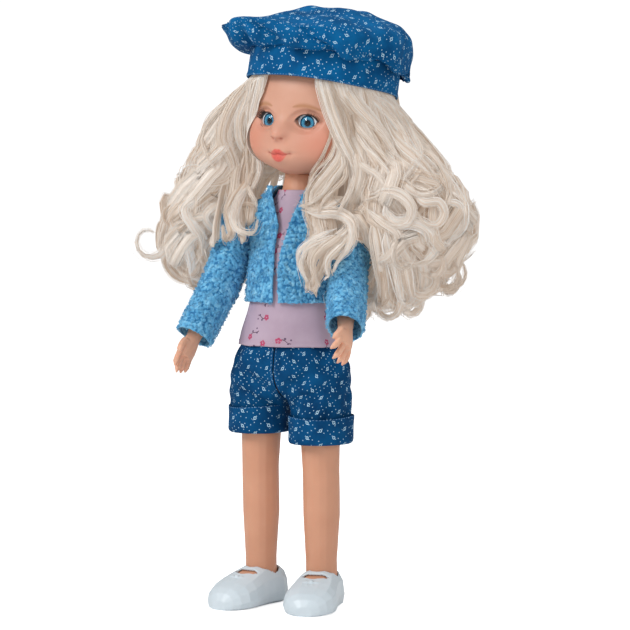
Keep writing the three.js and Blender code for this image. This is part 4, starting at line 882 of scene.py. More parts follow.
def cloth_piece(name, shell, uv, threads, look, body, node, slot="printed_cotton", bend=None):
    """Adds a sheet of cloth and the stitches on it, with a mask that is 1 on the thread."""
    points, quads = shell[:2]
    mask = [np.zeros(len(points))]
    for extra_points, extra_quads in threads:
        quads = np.concatenate([quads, extra_quads + len(points)])
        points = np.concatenate([points, extra_points])
        uv = np.concatenate([uv, np.zeros((len(extra_quads), 4, 2))])
        mask.append(np.ones(len(extra_points)))
    if body == "beret":
        points = from_beret(points)
    piece(name, points, quads, look, body, slot, [node], cloth=uv, masks={"thread": np.concatenate(mask)},
          bend=bend)


def make_tshirt():
    """Shirt close to the chest, with soft folds toward the hem and stitched hem and collar."""
    angles = circle(200) + np.pi / 2
    heights = np.linspace(143.2, 228, 110)
    ease = np.interp(heights, [143, 163, 180, 209, 228], [3.5, 2.7, 1.9, 1.7, 1.5])
    outer = torso_ring(heights, ease, angles)
    low = np.exp(-(heights - 143) / 14)[:, None]
    fold = 0.65 * np.cos(9 * angles + 0.8 * np.sin(2 * angles))[None] * low
    fold = fold + 0.6 * ripple(outer * (1, 1, 0.45), 16, 5) * (0.35 + 0.65 * low)
    hems = (heights < 146.2)[:, None] * 0.25 + (heights > 226)[:, None] * 0.35
    outer = outer + unit((outer - (NECK_OUT, 0, 0)) * (1, 1, 0)) * (fold + hems)[..., None]
    front = (angles > np.radians(200)) & (angles < np.radians(340))
    lines = [stitches(looped(outer[row]) + (0, 0, 0.1), 1.1, 0.7, 0.16) for row in (3, 4)]
    lines.append(stitches(outer[-4][front], 1.0, 0.7, 0.15))
    shell = cloth_shell(outer, COTTON, True)
    uv = flat_cloth(shell[2], 0.78, 84.8 / 109)
    cloth_piece("jersey_tshirt", shell, uv, lines, jersey_look(), "torso", "tshirt", "pink_jersey")


def yarn_loops(points, normals, count, seed):
    """Small standing loops of yarn on a cloth's skin."""
    rng = np.random.default_rng(seed)
    at = rng.choice(len(points), count, replace=False)
    root, up = points[at], normals[at]
    side = unit(np.cross(up, rng.normal(size=up.shape)))
    size = rng.uniform(0.35, 0.7, (count, 1, 1))
    turn = np.linspace(-0.25 * np.pi, 1.25 * np.pi, 8)[None, :, None]
    third = np.cross(up, side)[:, None] * np.sin(turn) * rng.uniform(-0.35, 0.35, (count, 1, 1))
    loop = side[:, None] * np.cos(turn) + up[:, None] * (np.sin(turn) + 0.25) + third
    centres = root[:, None] + loop * size
    radii = np.broadcast_to(rng.uniform(0.13, 0.2, (count, 1)), centres.shape[:2])
    return tubes(centres, *line_frames(centres), radii)


def knit_panel(name, node, body, look, seed, outward):
    """A CAD panel's form with the nubs and yarn loops of boucle knit."""
    points, quads = evened(node, 0.5, 4)
    normals = net_normals(points, quads)
    facing = soft((normals * outward(points)).sum(-1), -0.2, 0.35)
    nubs = 0.85 * pebbles(points, 1.9) + 0.35 * pebbles(points + 7.3, 1.05)
    skin = points + normals * ((nubs - 0.45) * (0.25 + 0.75 * facing))[:, None]
    ready = np.nonzero((facing > 0.5) & (nubs > 0.35))[0]
    extra_points, extra_quads = yarn_loops(skin[ready], normals[ready], int(len(ready) * LOOP_SHARE), seed)
    quads = np.concatenate([quads, extra_quads + len(skin)])
    # The nub mask carries painted light and shade: high on raised knit and loops, low in the hollows.
    nub = np.concatenate([nubs, np.full(len(extra_points), 0.6)])
    skin = np.concatenate([skin, extra_points])
    piece(name, skin, quads, look, body, "boucle_knit", [node], masks={"nub": nub})


LOOP_SHARE = 0.12
SLEEVE_LENGTH = 73
SHOULDER = np.array([21.5, 9.0, 209.0])
ARMS = {"left": (1, 38, 16), "right": (-1, 29, 11)}  # side, swing forward, splay outward


def sleeve_axis(side):
    """Start and end of a sleeve's middle line."""
    sign, swing, splay = ARMS[side]
    start = (SHOULDER + (9.0, 0, 0)) * (sign, 1, 1)
    splay = math.radians(splay)
    along = turning(x=-swing) @ np.array([sign * math.sin(splay), 0, -math.cos(splay)])
    return start, start + along * SLEEVE_LENGTH


def make_jacket():
    """The three panels and the two sleeves; nubs stand out from the chest's or the arm's middle line."""
    look = boucle_look()

    def from_chest(points):
        return unit((points - (0, 6, 0)) * (1, 1, 0))

    for index, part in enumerate(("back", "front_left", "front_right")):
        knit_panel(f"knit_{part}", f"jacket_{part}", "torso", look, 21 + index, from_chest)
    for index, side in enumerate(SIDES):
        start, end = sleeve_axis(side)
        along = unit(end - start)

        def from_arm(points, start=start, along=along):
            away = points - start
            return unit(away - (away @ along)[:, None] * along)

        knit_panel(f"knit_sleeve_{side}", f"sleeve_{side}", f"arm_{side}", look, 31 + index, from_arm)


CUFF_BASE = {"left": 90.0, "right": 95.0}
CUFF_SECTION = np.array([
    # outward and up, round the folded cloth
    (0.0, 2.2), (0.25, 0.9), (1.0, 0.1), (2.1, 0.15), (2.95, 1.0), (3.2, 2.4), (3.15, 5.0), (3.05, 8.0),
    (3.1, 11.0), (3.3, 13.6), (3.2, 14.7), (2.8, 15.0), (2.35, 14.6), (2.1, 13.0), (1.2, 11.0), (0.1, 9.0),
])
DEEPEST_FOLD = -0.7
LEG_MIDDLE = 18.4


def clear_of_body(points, ease):
    """Pushes garment points out of the torso and the thighs."""
    x, y, z = points[..., 0], points[..., 1], points[..., 2]
    back, width, depth = np.moveaxis(smooth_rows(TORSO_ROWS, np.clip(z, 118, 150)), -1, 0)
    grow = outgrow(np.hypot(x / (width + ease), (y - back) / (depth + ease)), z > 117.5)
    x, y = x * grow, back + (y - back) * grow
    thigh_x, half_x, half_y = 17.6, 10.9 + ease, 14.4 + ease
    grow = outgrow(np.hypot((x - thigh_x) / half_x, y / half_y), z < 120)
    return np.stack([thigh_x + (x - thigh_x) * grow, y * grow, z], -1)


def shorts_net(side, u):
    """One half from its lower edge up: half rings round the hips that close into a leg below the crotch."""
    bottom = CUFF_BASE[side] + 1.5
    full = 1.8 if side == "left" else 0.6
    angle, turn = (u - 0.5) * np.pi, np.pi + 2 * np.pi * u
    leg_ring = np.stack([LEG_MIDDLE + 14.9 * np.cos(turn), 16.9 * np.sin(turn)], -1)
    rows = []
    hips, crotch, leg = np.linspace(0, 1, 26), np.linspace(1, 2, 34)[1:], np.linspace(2, 3, 18)[1:]
    for level in np.concatenate([hips, crotch, leg]):
        height = float(np.interp(level, [0, 1, 2, 3], [147, 130, 108, bottom]))
        top = math.sin(float(np.clip((144.5 - height) / 15, 0, 1)) * math.pi / 2)
        width, depth = 27.3 + (5.4 + full) * top, 18.6 + 2.6 * top
        open_ring = np.stack([width * np.cos(angle), depth * np.sin(angle)], -1)
        share = float(np.clip(level - 1, 0, 1))
        down = share * math.pi / 2
        ring = open_ring * (1 - share) + leg_ring * share
        rise = np.full(len(u), height)
        for end, near, toward in ((0, bell(u, 0.09), -1), (-1, bell(1 - u, 0.09), 1)):
            if level <= 2:
                target = (0.35, toward * (depth * (1 - share) + 19 * share) * math.cos(down))
                drop = 130 - 16.5 * math.sin(down) if level > 1 else height
            else:
                target = (0.35 + 3.1 * min(1, (level - 2) * 2), 0)
                drop = float(np.interp(level, [2, 3], [113.5, bottom]))
            ring = ring + (np.array(target) - ring[end]) * near[:, None]
            rise = rise + (drop - height) * near
        rows.append(np.column_stack([ring, rise]))
    return np.array(rows)[::-1]


def mirrored(net):
    """A net of the left side as the right side's, still facing out."""
    return (net * (-1, 1, 1))[:, ::-1]


def make_shorts():
    """Two halves with gathers, drapes and creases from the crotch, their cuffs, and the waistband."""
    look = print_look("shorts_cotton", (2, 79, 129), (0, 55, 98))
    columns = 170
    u = np.linspace(0, 1, columns)
    for side, sign in SIDES.items():
        outer = shorts_net(side, u)
        z = outer[..., 2]
        gathers = 0.55 * np.cos(50 * u + 2 * ripple(outer, 30, 3)) * bell(z - 138, 6)
        drapes = 1.05 * ripple(outer * (1, 1, 0.3), 17, 40 + sign) + 0.4 * ripple(outer, 8, 50 + sign)
        whisker = bell(u - 0.17, 0.12) * np.sin((z - 55 * u) / 2.4) * bell(z - 122, 9)
        folds = gathers + 1.25 * drapes * soft(z, 147, 122) + 2.0 * whisker + 0.3
        calm = soft(u, 0, 0.1) * soft(1 - u, 0, 0.1) * soft(z, 146, 141)
        outer = outer + grid_normals(outer, False) * (np.maximum(folds, DEEPEST_FOLD) * calm)[..., None]
        outer = clear_of_body(outer, 2.0)
        if sign < 0:
            outer = mirrored(outer)
        shell = cloth_shell(outer, COTTON, False)
        edge = outer[:, 0 if sign > 0 else -1]
        seam = edge[edge[:, 2] > 120] + (0.9 * sign, -0.15, 0)
        bend = (f"leg_{side}", (0, 0, 117), (sign * 4.0, 0, 106))
        cloth_piece(f"print_shorts_{side}", shell, flat_cloth(shell[2], 108 / columns, 0.72, 40),
                    [stitches(seam, 1.1, 0.8, 0.14)], look, "torso", f"shorts_{side}", bend=bend)
        make_cuff(side, sign, look)
    angles = circle(160)
    low, high = 147.3, 154.3
    heights = np.linspace(low, high, 14)
    swell = np.sin((heights - low) / (high - low) * np.pi)
    band = torso_ring(heights, 1.15 + 0.25 * swell, angles)
    band = band + grid_normals(band, True) * (0.3 * np.cos(46 * angles)[None] * swell[:, None])[..., None]
    shell = cloth_shell(band, COTTON, True)
    uv = flat_cloth(shell[2], 0.85, 0.5)
    cloth_piece("print_waistband", shell, uv, [], look, "torso", "shorts_waistband")


def make_cuff(side, sign, look):
    """Turned-up cuff: a folded band whose lower edge is round and whose upper edge stands off a little."""
    turn = circle(160)
    along = run_of(looped(CUFF_SECTION))
    at = np.linspace(0, along[-1], 60, endpoint=False)
    out, up = (np.interp(at, along, looped(CUFF_SECTION)[:, axis])[:, None] for axis in (0, 1))
    lift = up / 15
    wave = (0.35 * np.sin(3 * turn + 1) + 0.25 * np.sin(5 * turn)) * lift
    x = LEG_MIDDLE + (14.4 + out + wave) * np.cos(turn) + 1.2 * soft(-np.cos(turn), 0.75, 1.0)
    y = (16.2 + out + wave) * np.sin(turn)
    z = CUFF_BASE[side] + up + 0.7 * np.sin(turn * 2 + 0.6) * lift
    points = points_of(x, y, z)
    if sign < 0:
        points = mirrored(points)
    rows, columns = points.shape[:2]
    quads, corners = grid_faces(rows + 1, columns, True)
    quads, corners = quads[:, ::-1] % (rows * columns), corners[:, ::-1]
    fold = points[np.argmin(np.abs(at - along[10]))]
    uv = flat_cloth(corners, 0.66, along[-1] / rows)
    cloth_piece(f"print_cuff_{side}", (points.reshape(-1, 3), quads), uv,
                [stitches(looped(fold), 1.1, 0.8, 0.13)], look, f"leg_{side}", f"cuff_{side}")


# Beret
BERET_TURN = turning(x=-9)
BERET_SIDES = 320
BERET_PLACE = HEAD_CENTRE + (0, 0, 8)
BAND_INNER, BAND_DEEPER, BAND_WIDTH, BAND_THICKNESS = 40.0, 1.6, 15.0, 1.2
CROWN_REACH = 53
CROWN_PROFILE = [
    # share, outward from the band, up, lean
    (0, 0, 0, 0), (0.07, 2.2, -1.4, -0.6), (0.16, 7, -2.4, -3), (0.3, 13.4, 2.6, -5), (0.42, 14, 8.6, -1.5),
    (0.56, 6, 15, 4), (0.72, -9, 21, 4.5), (0.88, -25, 26, 2), (1.0, -40.9, 27.6, 0),
]
CROWN_FOLDS = [
    # turn at the band, how it wanders, how far up it runs, width, depth
    (-112, 10, 0.40, 6, 4.2), (-80, -14, 0.46, 6, 4.6), (-42, -22, 0.56, 7, 5.6), (-4, -18, 0.46, 8, 4.6),
    (24, 14, 0.40, 7, 4.0), (60, 10, 0.42, 9, 3.5), (98, -12, 0.36, 8, 3.0), (140, 14, 0.45, 9, 3.6),
    (185, -10, 0.38, 8, 3.0), (222, 12, 0.42, 8, 3.0),
]


def from_beret(points):
    """Places in the part's frame of places in the beret's own."""
    return from_head(points @ BERET_TURN.T + BERET_PLACE)


def make_beret():
    """The turned band, and the crown gathered onto it with creases that run up from the band."""
    look = print_look("beret_cotton", (2, 99, 156), (0, 72, 122))
    turn = circle(BERET_SIDES)
    up = np.linspace(-1.3, BAND_WIDTH, 26)[:, None]
    wave = 0.125 * ripple(points_of(np.cos(turn) * 20, np.sin(turn) * 20, up * 0.5), 14, 8)
    radius = BAND_INNER + BAND_THICKNESS + wave + 0.45 * bell(up + 0.1, 1.0)
    height = up + 0.25 * np.sin(4 * turn)
    band = points_of(radius * np.cos(turn), (radius + BAND_DEEPER) * np.sin(turn), height)
    shell = cloth_shell(band, BAND_THICKNESS, True)
    uv = flat_cloth(shell[2], 2 * np.pi * 41.5 / BERET_SIDES, BAND_WIDTH / (len(up) - 1))
    edge = looped(band[0]) * (1.004, 1.004, 1) + (0, 0, 0.55)
    cloth_piece("print_band", shell, uv, [stitches(edge, 1.0, 0.8, 0.17)], look, "beret", "beret_band")

    share = np.concatenate([np.linspace(0, 0.4, 60), np.linspace(0.4, 1, 90)[1:]])[:, None]
    out, up, lean = smooth_rows(CROWN_PROFILE, share[:, 0]).T[..., None]
    base = BAND_INNER + BAND_THICKNESS + out
    x, y = base * np.cos(turn), (base + BAND_DEEPER * np.clip(base / 40, 0, 1)) * np.sin(turn)
    away = np.maximum(np.hypot(x, y), 1e-6)
    rim = np.clip(share / 0.3, 0, 1)
    pleat = 0.8 * np.sin(rim * np.pi * 0.9) * np.cos(10 * turn)
    open_wave = 2 * share * np.sin(3 * turn + 1) * (1 - soft(share, 0.8, 1.0))
    reach = -2.5 * np.logaddexp(-away / 2.5, -CROWN_REACH / 2.5)
    reach = reach + (pleat + open_wave) * np.clip(away / 20, 0, 1)
    tip = 2.8 * bell(np.degrees(turn) - 214, 15) * bell(share - 0.36, 0.12)
    reach = reach + tip
    z = BAND_WIDTH + 0.3 + up + lean * np.cos(turn - np.radians(50))
    crown = np.stack([x * reach / away - 4.2 * rim, y * reach / away - 3.4 * rim, z], -1)
    push = np.zeros(x.shape)
    for at, wander, run, width, depth in CROWN_FOLDS:
        middle = np.radians(at + wander * (share / run) ** 1.5)
        off = np.degrees(np.angle(np.exp(1j * (turn - middle))))
        depth = depth * soft(share, 0.015, 0.06) * (1 - soft(share / run, 0.55, 1.0))
        width = width * (0.55 + 0.9 * share / run)
        push -= depth * bell(off, width) * (1 - 0.35 * np.tanh(off / width * 2))
        push += 0.45 * depth * bell(off - 1.9 * width, 1.2 * width)
    puckers = 0.45 * np.cos(46 * turn + 3 * np.sin(3 * turn)) * bell(share - 0.05, 0.06)
    drape = 1.2 * ripple(crown, 24, 17) + 0.4 * ripple(crown, 11, 18)
    push = push + puckers + drape * soft(share, 0.05, 0.25) * (1 - soft(share, 0.9, 1))
    for _ in range(6):
        push = (np.roll(push, 1, 1) + np.roll(push, -1, 1) + 2 * push) / 4
        push[1:-1] = (push[2:] + push[:-2] + 2 * push[1:-1]) / 4
    crown = crown + grid_normals(crown, True) * push[..., None]
    sewn = (1 - soft(share, 0, 0.035))[..., None]
    crown = crown * (1 - sewn) + (band[-1] + (0, 0, 0.05)) * sewn
    shell = cloth_shell(crown, 1.0, True)
    arc = run_of(np.concatenate([base, up], -1))
    radius = (arc[-1] - arc)[shell[2][..., 0]]
    angle = shell[2][..., 1] * (2 * np.pi / BERET_SIDES)
    uv = np.stack([radius * np.cos(angle) + 80, radius * np.sin(angle) + 80], -1)
    cloth_piece("print_crown", shell, uv, [], look, "beret", "beret_crown")


# Hair
HAIR_ROWS = {
    # height above the neck, x, y, half width, half depth
    "left": [
        (-74, 48, 13, 12, 12), (-64, 50, 13, 23, 22), (-46, 55, 16, 30, 27), (-28, 59, 17, 36, 30),
        (-13, 59, 19, 36, 32), (6, 50, 19, 25, 30), (27, 38, 19, 11, 24), (50, 31, 15, 9, 19),
    ],
    "right": [
        (-67, -58, -6, 9, 10), (-54, -64, -6, 17, 22), (-36, -66, -5, 21, 27), (-12, -60, 3, 20, 29),
        (5, -54, 7, 18, 30), (25, -45, 9, 16, 29), (48, -28, 4, 11, 24),
    ],
    "back": [
        (-75, 0, 27, 22, 8), (-65, 0, 28, 34, 13), (-45, 0, 31, 42, 17), (-20, 0, 36, 44, 19),
        (0, 0, 42, 42, 18), (25, 0, 44, 38, 18), (48, 0, 40, 34, 16),
    ],
    "lock_left": [
        (-64, 34, -30, 7, 4), (-54, 35, -31, 13, 6.5), (-34, 37, -30, 15, 7), (-20, 29, -24, 15, 7),
        (-7, 26, -16, 13, 7), (10, 33, -9, 8, 7), (27, 31, -7, 7, 6), (50, 24, -16, 6, 4),
    ],
    "lock_right": [
        (-43, -22, -33, 8, 4), (-32, -23, -32, 15, 7), (-16, -33, -15, 12, 9), (2, -34, -6, 8, 8),
        (24, -31, -8, 6, 7), (46, -15, -22, 6, 4),
    ],
}
HAIR_BEND = ((2, 12, 250), (2, 12, 90))
HAIR_REACH, STRAY_LIMIT = 88, 7
ROOT_RISE = 9
STRAND_RADIUS = 0.16
SLEEVE_CLEAR, SKULL_CLEAR = 16.5, 1.6
STEPS, CURL_STEPS, LOCK_SIDES = 37, 10, 14  # along a lock, of these round its curled end, and round it

# How hair lies under the beret: the band's lower edge (its height and slope), the reach there, and the scalp
EDGE_HEIGHT, EDGE_SLOPE = 7, 0.158
EDGE_REACH, BELOW_SPREAD = 38.9, 1.05
SCALP_RADIUS, SCALP_HEIGHT, SCALP_HAIR = 36.8, 40, 1.9
UNDER_BAND_START = 283

# Locks as the camera sees them: the mass they lie on, their width, and places across and up
SEEN_LOCKS = [
    ("lock_left", 5.0, [(17, 289), (20, 277), (24, 265), (29, 254), (34, 243), (34, 232),
        (30, 222), (25, 214)]),
    ("left", 5.0, [(22, 288), (25, 276), (31, 264), (36, 253), (39, 242), (37, 230),
        (33, 220), (29, 210), (24, 203)]),
    ("lock_left", 1.3, [(22, 273), (23, 262), (24, 252), (20, 244), (15, 239), (11, 233), (8, 226)]),
    ("lock_left", 1.0, [(20, 277), (22, 263), (19, 252), (16, 244), (12, 238), (10, 231)]),
    ("lock_left", 2.6, [(26, 252), (29, 242), (24, 234), (19, 227), (12, 221), (5, 219)]),
    ("lock_left", 2.6, [(30, 245), (30, 235), (24, 228), (17, 220), (15, 215)]),
    ("lock_left", 3.2, [(30, 225), (20, 219), (12, 217), (7, 219)]),
    ("lock_left", 3.2, [(6, 217), (15, 215), (25, 215), (33, 210), (34, 203), (31, 195),
        (26, 189), (23, 183)]),
    ("lock_left", 3.2, [(22, 219), (29, 216), (33, 209), (27, 202), (17, 199), (9, 195),
        (6, 187), (9, 178)]),
    ("lock_left", 2.6, [(30, 210), (26, 202), (18, 196), (13, 190), (13, 182), (16, 175)]),
    ("lock_left", 2.6, [(34, 208), (31, 201), (25, 195), (20, 189), (21, 181), (24, 176)]),
    ("lock_left", 2.2, [(25, 207), (17, 203), (10, 199), (5, 194), (5, 186), (7, 181)]),
    ("left", 2.2, [(29, 287), (33, 279), (39, 273), (47, 267)]),
    ("left", 4.5, [(30, 286), (36, 275), (45, 265), (53, 255), (59, 245)]),
    ("left", 4.5, [(38, 281), (46, 274), (54, 265), (62, 255), (66, 244)]),
    ("left", 3.5, [(46, 279), (53, 275), (58, 267), (63, 260)]),
    ("left", 4.0, [(52, 275), (60, 266), (65, 256), (69, 246), (66, 239), (61, 233)]),
    ("left", 2.4, [(33, 268), (39, 260), (46, 252), (52, 245), (58, 238)]),
    ("left", 2.0, [(34, 263), (41, 251), (48, 244), (53, 237), (55, 230)]),
    ("left", 2.4, [(34, 250), (39, 242), (46, 237), (51, 231), (48, 225), (41, 222)]),
    ("left", 2.6, [(58, 238), (64, 229), (73, 225), (81, 228), (84, 233), (81, 239), (74, 239)]),
    ("left", 2.2, [(62, 234), (65, 240), (70, 243), (71, 238), (66, 231), (69, 225)]),
    ("left", 2.6, [(66, 228), (73, 221), (81, 221), (84, 215), (80, 209), (73, 210), (69, 216)]),
    ("left", 2.4, [(82, 222), (92, 219), (94, 211), (89, 204), (82, 202)]),
    ("left", 3.0, [(76, 238), (85, 234), (92, 227), (94, 218), (94, 208), (88, 201), (82, 195)]),
    ("left", 4.5, [(55, 225), (52, 217), (57, 210), (66, 210), (75, 206), (78, 197),
        (73, 190), (64, 189), (58, 194), (55, 202)]),
    ("left", 3.6, [(39, 220), (45, 215), (51, 210), (58, 205), (61, 196), (66, 189),
        (75, 189), (82, 194)]),
    ("left", 3.6, [(43, 225), (51, 227), (60, 225), (66, 218), (64, 210), (57, 208), (50, 211)]),
    ("left", 5.0, [(45, 215), (47, 203), (49, 191), (51, 179), (54, 167), (61, 163), (67, 165)]),
    ("left", 5.0, [(52, 208), (54, 197), (57, 186), (59, 175), (62, 166), (69, 164)]),
    ("left", 5.0, [(61, 195), (63, 185), (65, 175), (66, 168), (61, 164)]),
    ("left", 5.0, [(71, 195), (73, 185), (73, 176), (70, 168), (63, 163)]),
    ("left", 4.0, [(80, 201), (82, 192), (80, 183), (75, 174), (70, 168)]),
    ("left", 1.2, [(80, 203), (85, 195), (89, 189), (96, 190), (101, 195)]),
    ("left", 1.0, [(78, 205), (84, 199), (90, 197), (96, 199)]),
    ("left", 1.0, [(86, 228), (92, 223), (97, 219), (101, 221)]),
    ("left", 0.5, [(69, 242), (74, 250), (81, 251), (86, 245), (87, 239)]),
    ("lock_right", 4.5, [(-16, 288), (-18, 278), (-20, 267), (-19.5, 256), (-17, 245),
        (-17.5, 235), (-22, 227)]),
    ("right", 4.5, [(-22, 288), (-24, 278), (-28, 267), (-28, 256), (-24, 246), (-22, 238), (-23, 229)]),
    ("right", 4.0, [(-24, 286), (-30, 277), (-35, 267), (-37, 256), (-33, 246), (-31, 239),
        (-36, 233), (-45, 231), (-54, 230)]),
    ("right", 3.0, [(-26, 285), (-33, 277), (-41, 270), (-46, 263), (-48, 254), (-45, 245), (-41, 239)]),
    ("right", 1.2, [(-44, 268), (-48, 260), (-51, 250), (-52, 240)]),
    ("right", 3.0, [(-32, 265), (-34, 255), (-42, 246), (-49, 240), (-56, 234), (-58, 227), (-55, 220)]),
    ("right", 2.6, [(-47, 229), (-54, 227), (-58, 231), (-57, 238), (-51, 240), (-45, 235), (-45, 229)]),
    ("lock_right", 3.0, [(-22, 231), (-27, 225), (-30, 218), (-31, 210), (-27, 205),
        (-20, 205), (-18, 211)]),
    ("lock_right", 1.4, [(-24, 232), (-22, 227), (-19, 221), (-18, 217)]),
    ("right", 3.6, [(-25, 225), (-34, 221), (-42, 218), (-46, 213), (-42, 207), (-35, 204),
        (-27, 203), (-21, 206)]),
    ("right", 3.2, [(-30, 220), (-35, 215), (-37, 208), (-32, 205), (-24, 208), (-22, 215)]),
    ("right", 3.0, [(-46, 226), (-54, 222), (-58, 218), (-55, 211), (-49, 206), (-46, 201)]),
    ("right", 3.0, [(-55, 225), (-57, 216), (-53, 208), (-49, 201), (-48, 192)]),
    ("right", 1.4, [(-57, 222), (-64, 218), (-68, 210), (-70, 201), (-68, 191), (-64, 182)]),
    ("nape", 5.0, [(-12, 262), (-14, 250), (-17, 240), (-21, 230), (-26, 221)]),
    ("nape", 5.0, [(-16, 258), (-19, 247), (-23, 237), (-28, 228)]),
    ("right", 4.0, [(-57, 210), (-64, 203), (-67, 195), (-66, 186), (-59, 179), (-51, 178), (-45, 183)]),
    ("right", 4.0, [(-56, 208), (-56, 198), (-54, 189), (-52, 180), (-46, 179)]),
    ("right", 4.0, [(-49, 205), (-49, 196), (-47, 187), (-46, 182)]),
    ("right", 3.0, [(-43, 205), (-43, 197), (-43, 191), (-46, 184)]),
]


def kept_clear(points):
    """Pushes hair points out of the clothed chest, the sleeves and the head, and in from far out."""
    shape = points.shape
    points = points.reshape(-1, 3).copy()
    for _ in range(2):
        back, width, depth = smooth_rows(TORSO_ROWS, np.clip(points[:, 2], 150, 236)).T
        ease = np.interp(points[:, 2], [150, 228, 236], [7.0, 7.0, 3.0])
        middle = np.stack([NECK_OUT * soft(points[:, 2], 209, 231), back], -1)
        off = points[:, :2] - middle
        share = np.linalg.norm(off / np.stack([width + ease, depth + ease], -1), axis=-1)
        points[:, :2] = middle + off * outgrow(share, points[:, 2] < 238)[:, None]
        for side in SIDES:
            start, end = sleeve_axis(side)
            along = end - start
            near = start + np.clip((points - start) @ along / (along @ along), 0, 1)[:, None] * along
            gap = points - near
            distance = np.linalg.norm(gap, axis=-1)
            push = np.where(distance < SLEEVE_CLEAR, SLEEVE_CLEAR / np.maximum(distance, 0.5), 1)
            points = near + gap * push[:, None]
        local = in_head(points) - HEAD_CENTRE
        azimuth = np.arctan2(local[:, 0], -local[:, 1])
        elevation = np.arctan2(local[:, 2], np.hypot(local[:, 0], local[:, 1]))
        now = np.linalg.norm(local, axis=-1)
        wanted = np.maximum(now, skull(azimuth, elevation)[0] + SKULL_CLEAR)
        points = from_head(local * (wanted / np.maximum(now, 1e-6))[:, None] + HEAD_CENTRE)
    over = np.maximum(-points[:, 0] - HAIR_REACH, 0)
    points[:, 0] += over - STRAY_LIMIT * np.tanh(over / STRAY_LIMIT)
    return points.reshape(shape)


def under_band(points):
    """Draws head-frame hair points in below the beret's band, as if they came out from under it."""
    x, y, z = np.moveaxis(points - HEAD_CENTRE, -1, 0)
    edge = EDGE_HEIGHT - EDGE_SLOPE * y
    reach = EDGE_REACH + BELOW_SPREAD * np.maximum(edge - z, 0)
    scalp = SCALP_RADIUS * np.sqrt(np.maximum(1 - (z / SCALP_HEIGHT) ** 2, 0)) + SCALP_HAIR
    reach -= np.maximum(EDGE_REACH - scalp, 0) * soft(z - edge, 0, 4)
    pull = np.minimum(1, reach / np.maximum(np.hypot(x, y), 1e-6))
    return np.stack([x * pull, y * pull, z], -1) + HEAD_CENTRE


def bundle(centre, outward, width, strands, rng, tone, rooted=True):
    """A satin lock along a middle line: its strands' lines and tones, and its own rings."""
    along = np.linspace(0, 1, len(centre))
    tangent = unit(np.gradient(centre, axis=0))
    across = unit(np.cross(tangent, outward), 1e-3)
    out = np.cross(across, tangent)
    spread = width * (0.5 + 0.7 * np.sin(np.pi * np.clip(along * 0.9 + 0.12, 0, 1)) ** 0.8)
    spread = spread * (1 - 0.7 * along**5)
    if not rooted:
        spread = spread * soft(along, -0.02, 0.22)
    side = np.clip(rng.normal(0, 0.6, (strands, 1, 1)), -1.3, 1.3)
    deep = rng.normal(0, 0.3, (strands, 1, 1)) * (0.35 * spread)[:, None]
    twist = (rng.normal(0, 0.35) + 0.8 * along * rng.choice([-1, 1]))[:, None]
    wide = side * spread[:, None]
    lift = 0.5 * wide * np.sin(twist) + deep * np.cos(twist) + 0.3 * width * (1 - np.minimum(side**2, 1))
    lines = centre + across * (wide * np.cos(twist) - deep * np.sin(twist)) + out * lift
    loose = 0.3 + 1.9 * (rng.random((strands, 1, 1)) > 0.94)
    stray = rng.normal(0, 1, (strands, 1, 3)) * loose * along[:, None] ** 1.5
    pace = rng.uniform(8, 24, (strands, 1, 1))
    frizz = 0.3 * np.sin(along[:, None] * pace + rng.uniform(0, 6.28, (strands, 1, 3))) * along[:, None]
    shades = tone + 0.16 * np.cos(side[:, 0, 0] * 7 + rng.uniform(0, 6)) + rng.normal(0, 0.1, strands)
    turn = circle(LOCK_SIDES)
    ends = np.clip(np.minimum(along / 0.04, (1 - along) / 0.1), 0.03, 1)[:, None, None]
    flat = (across * np.cos(twist) + 0.5 * out * np.sin(twist))[:, None] * np.cos(turn)[:, None]
    thick = out[:, None] * (0.26 * np.sin(turn) + 0.12 * np.cos(5 * turn + tone * 9))[:, None]
    rings = centre[:, None] + (0.66 * flat + 0.8 * thick) * spread[:, None, None] * ends
    return lines + stray + frizz, np.clip(shades, 0, 1), rings + (out * 0.12 * width)[:, None]


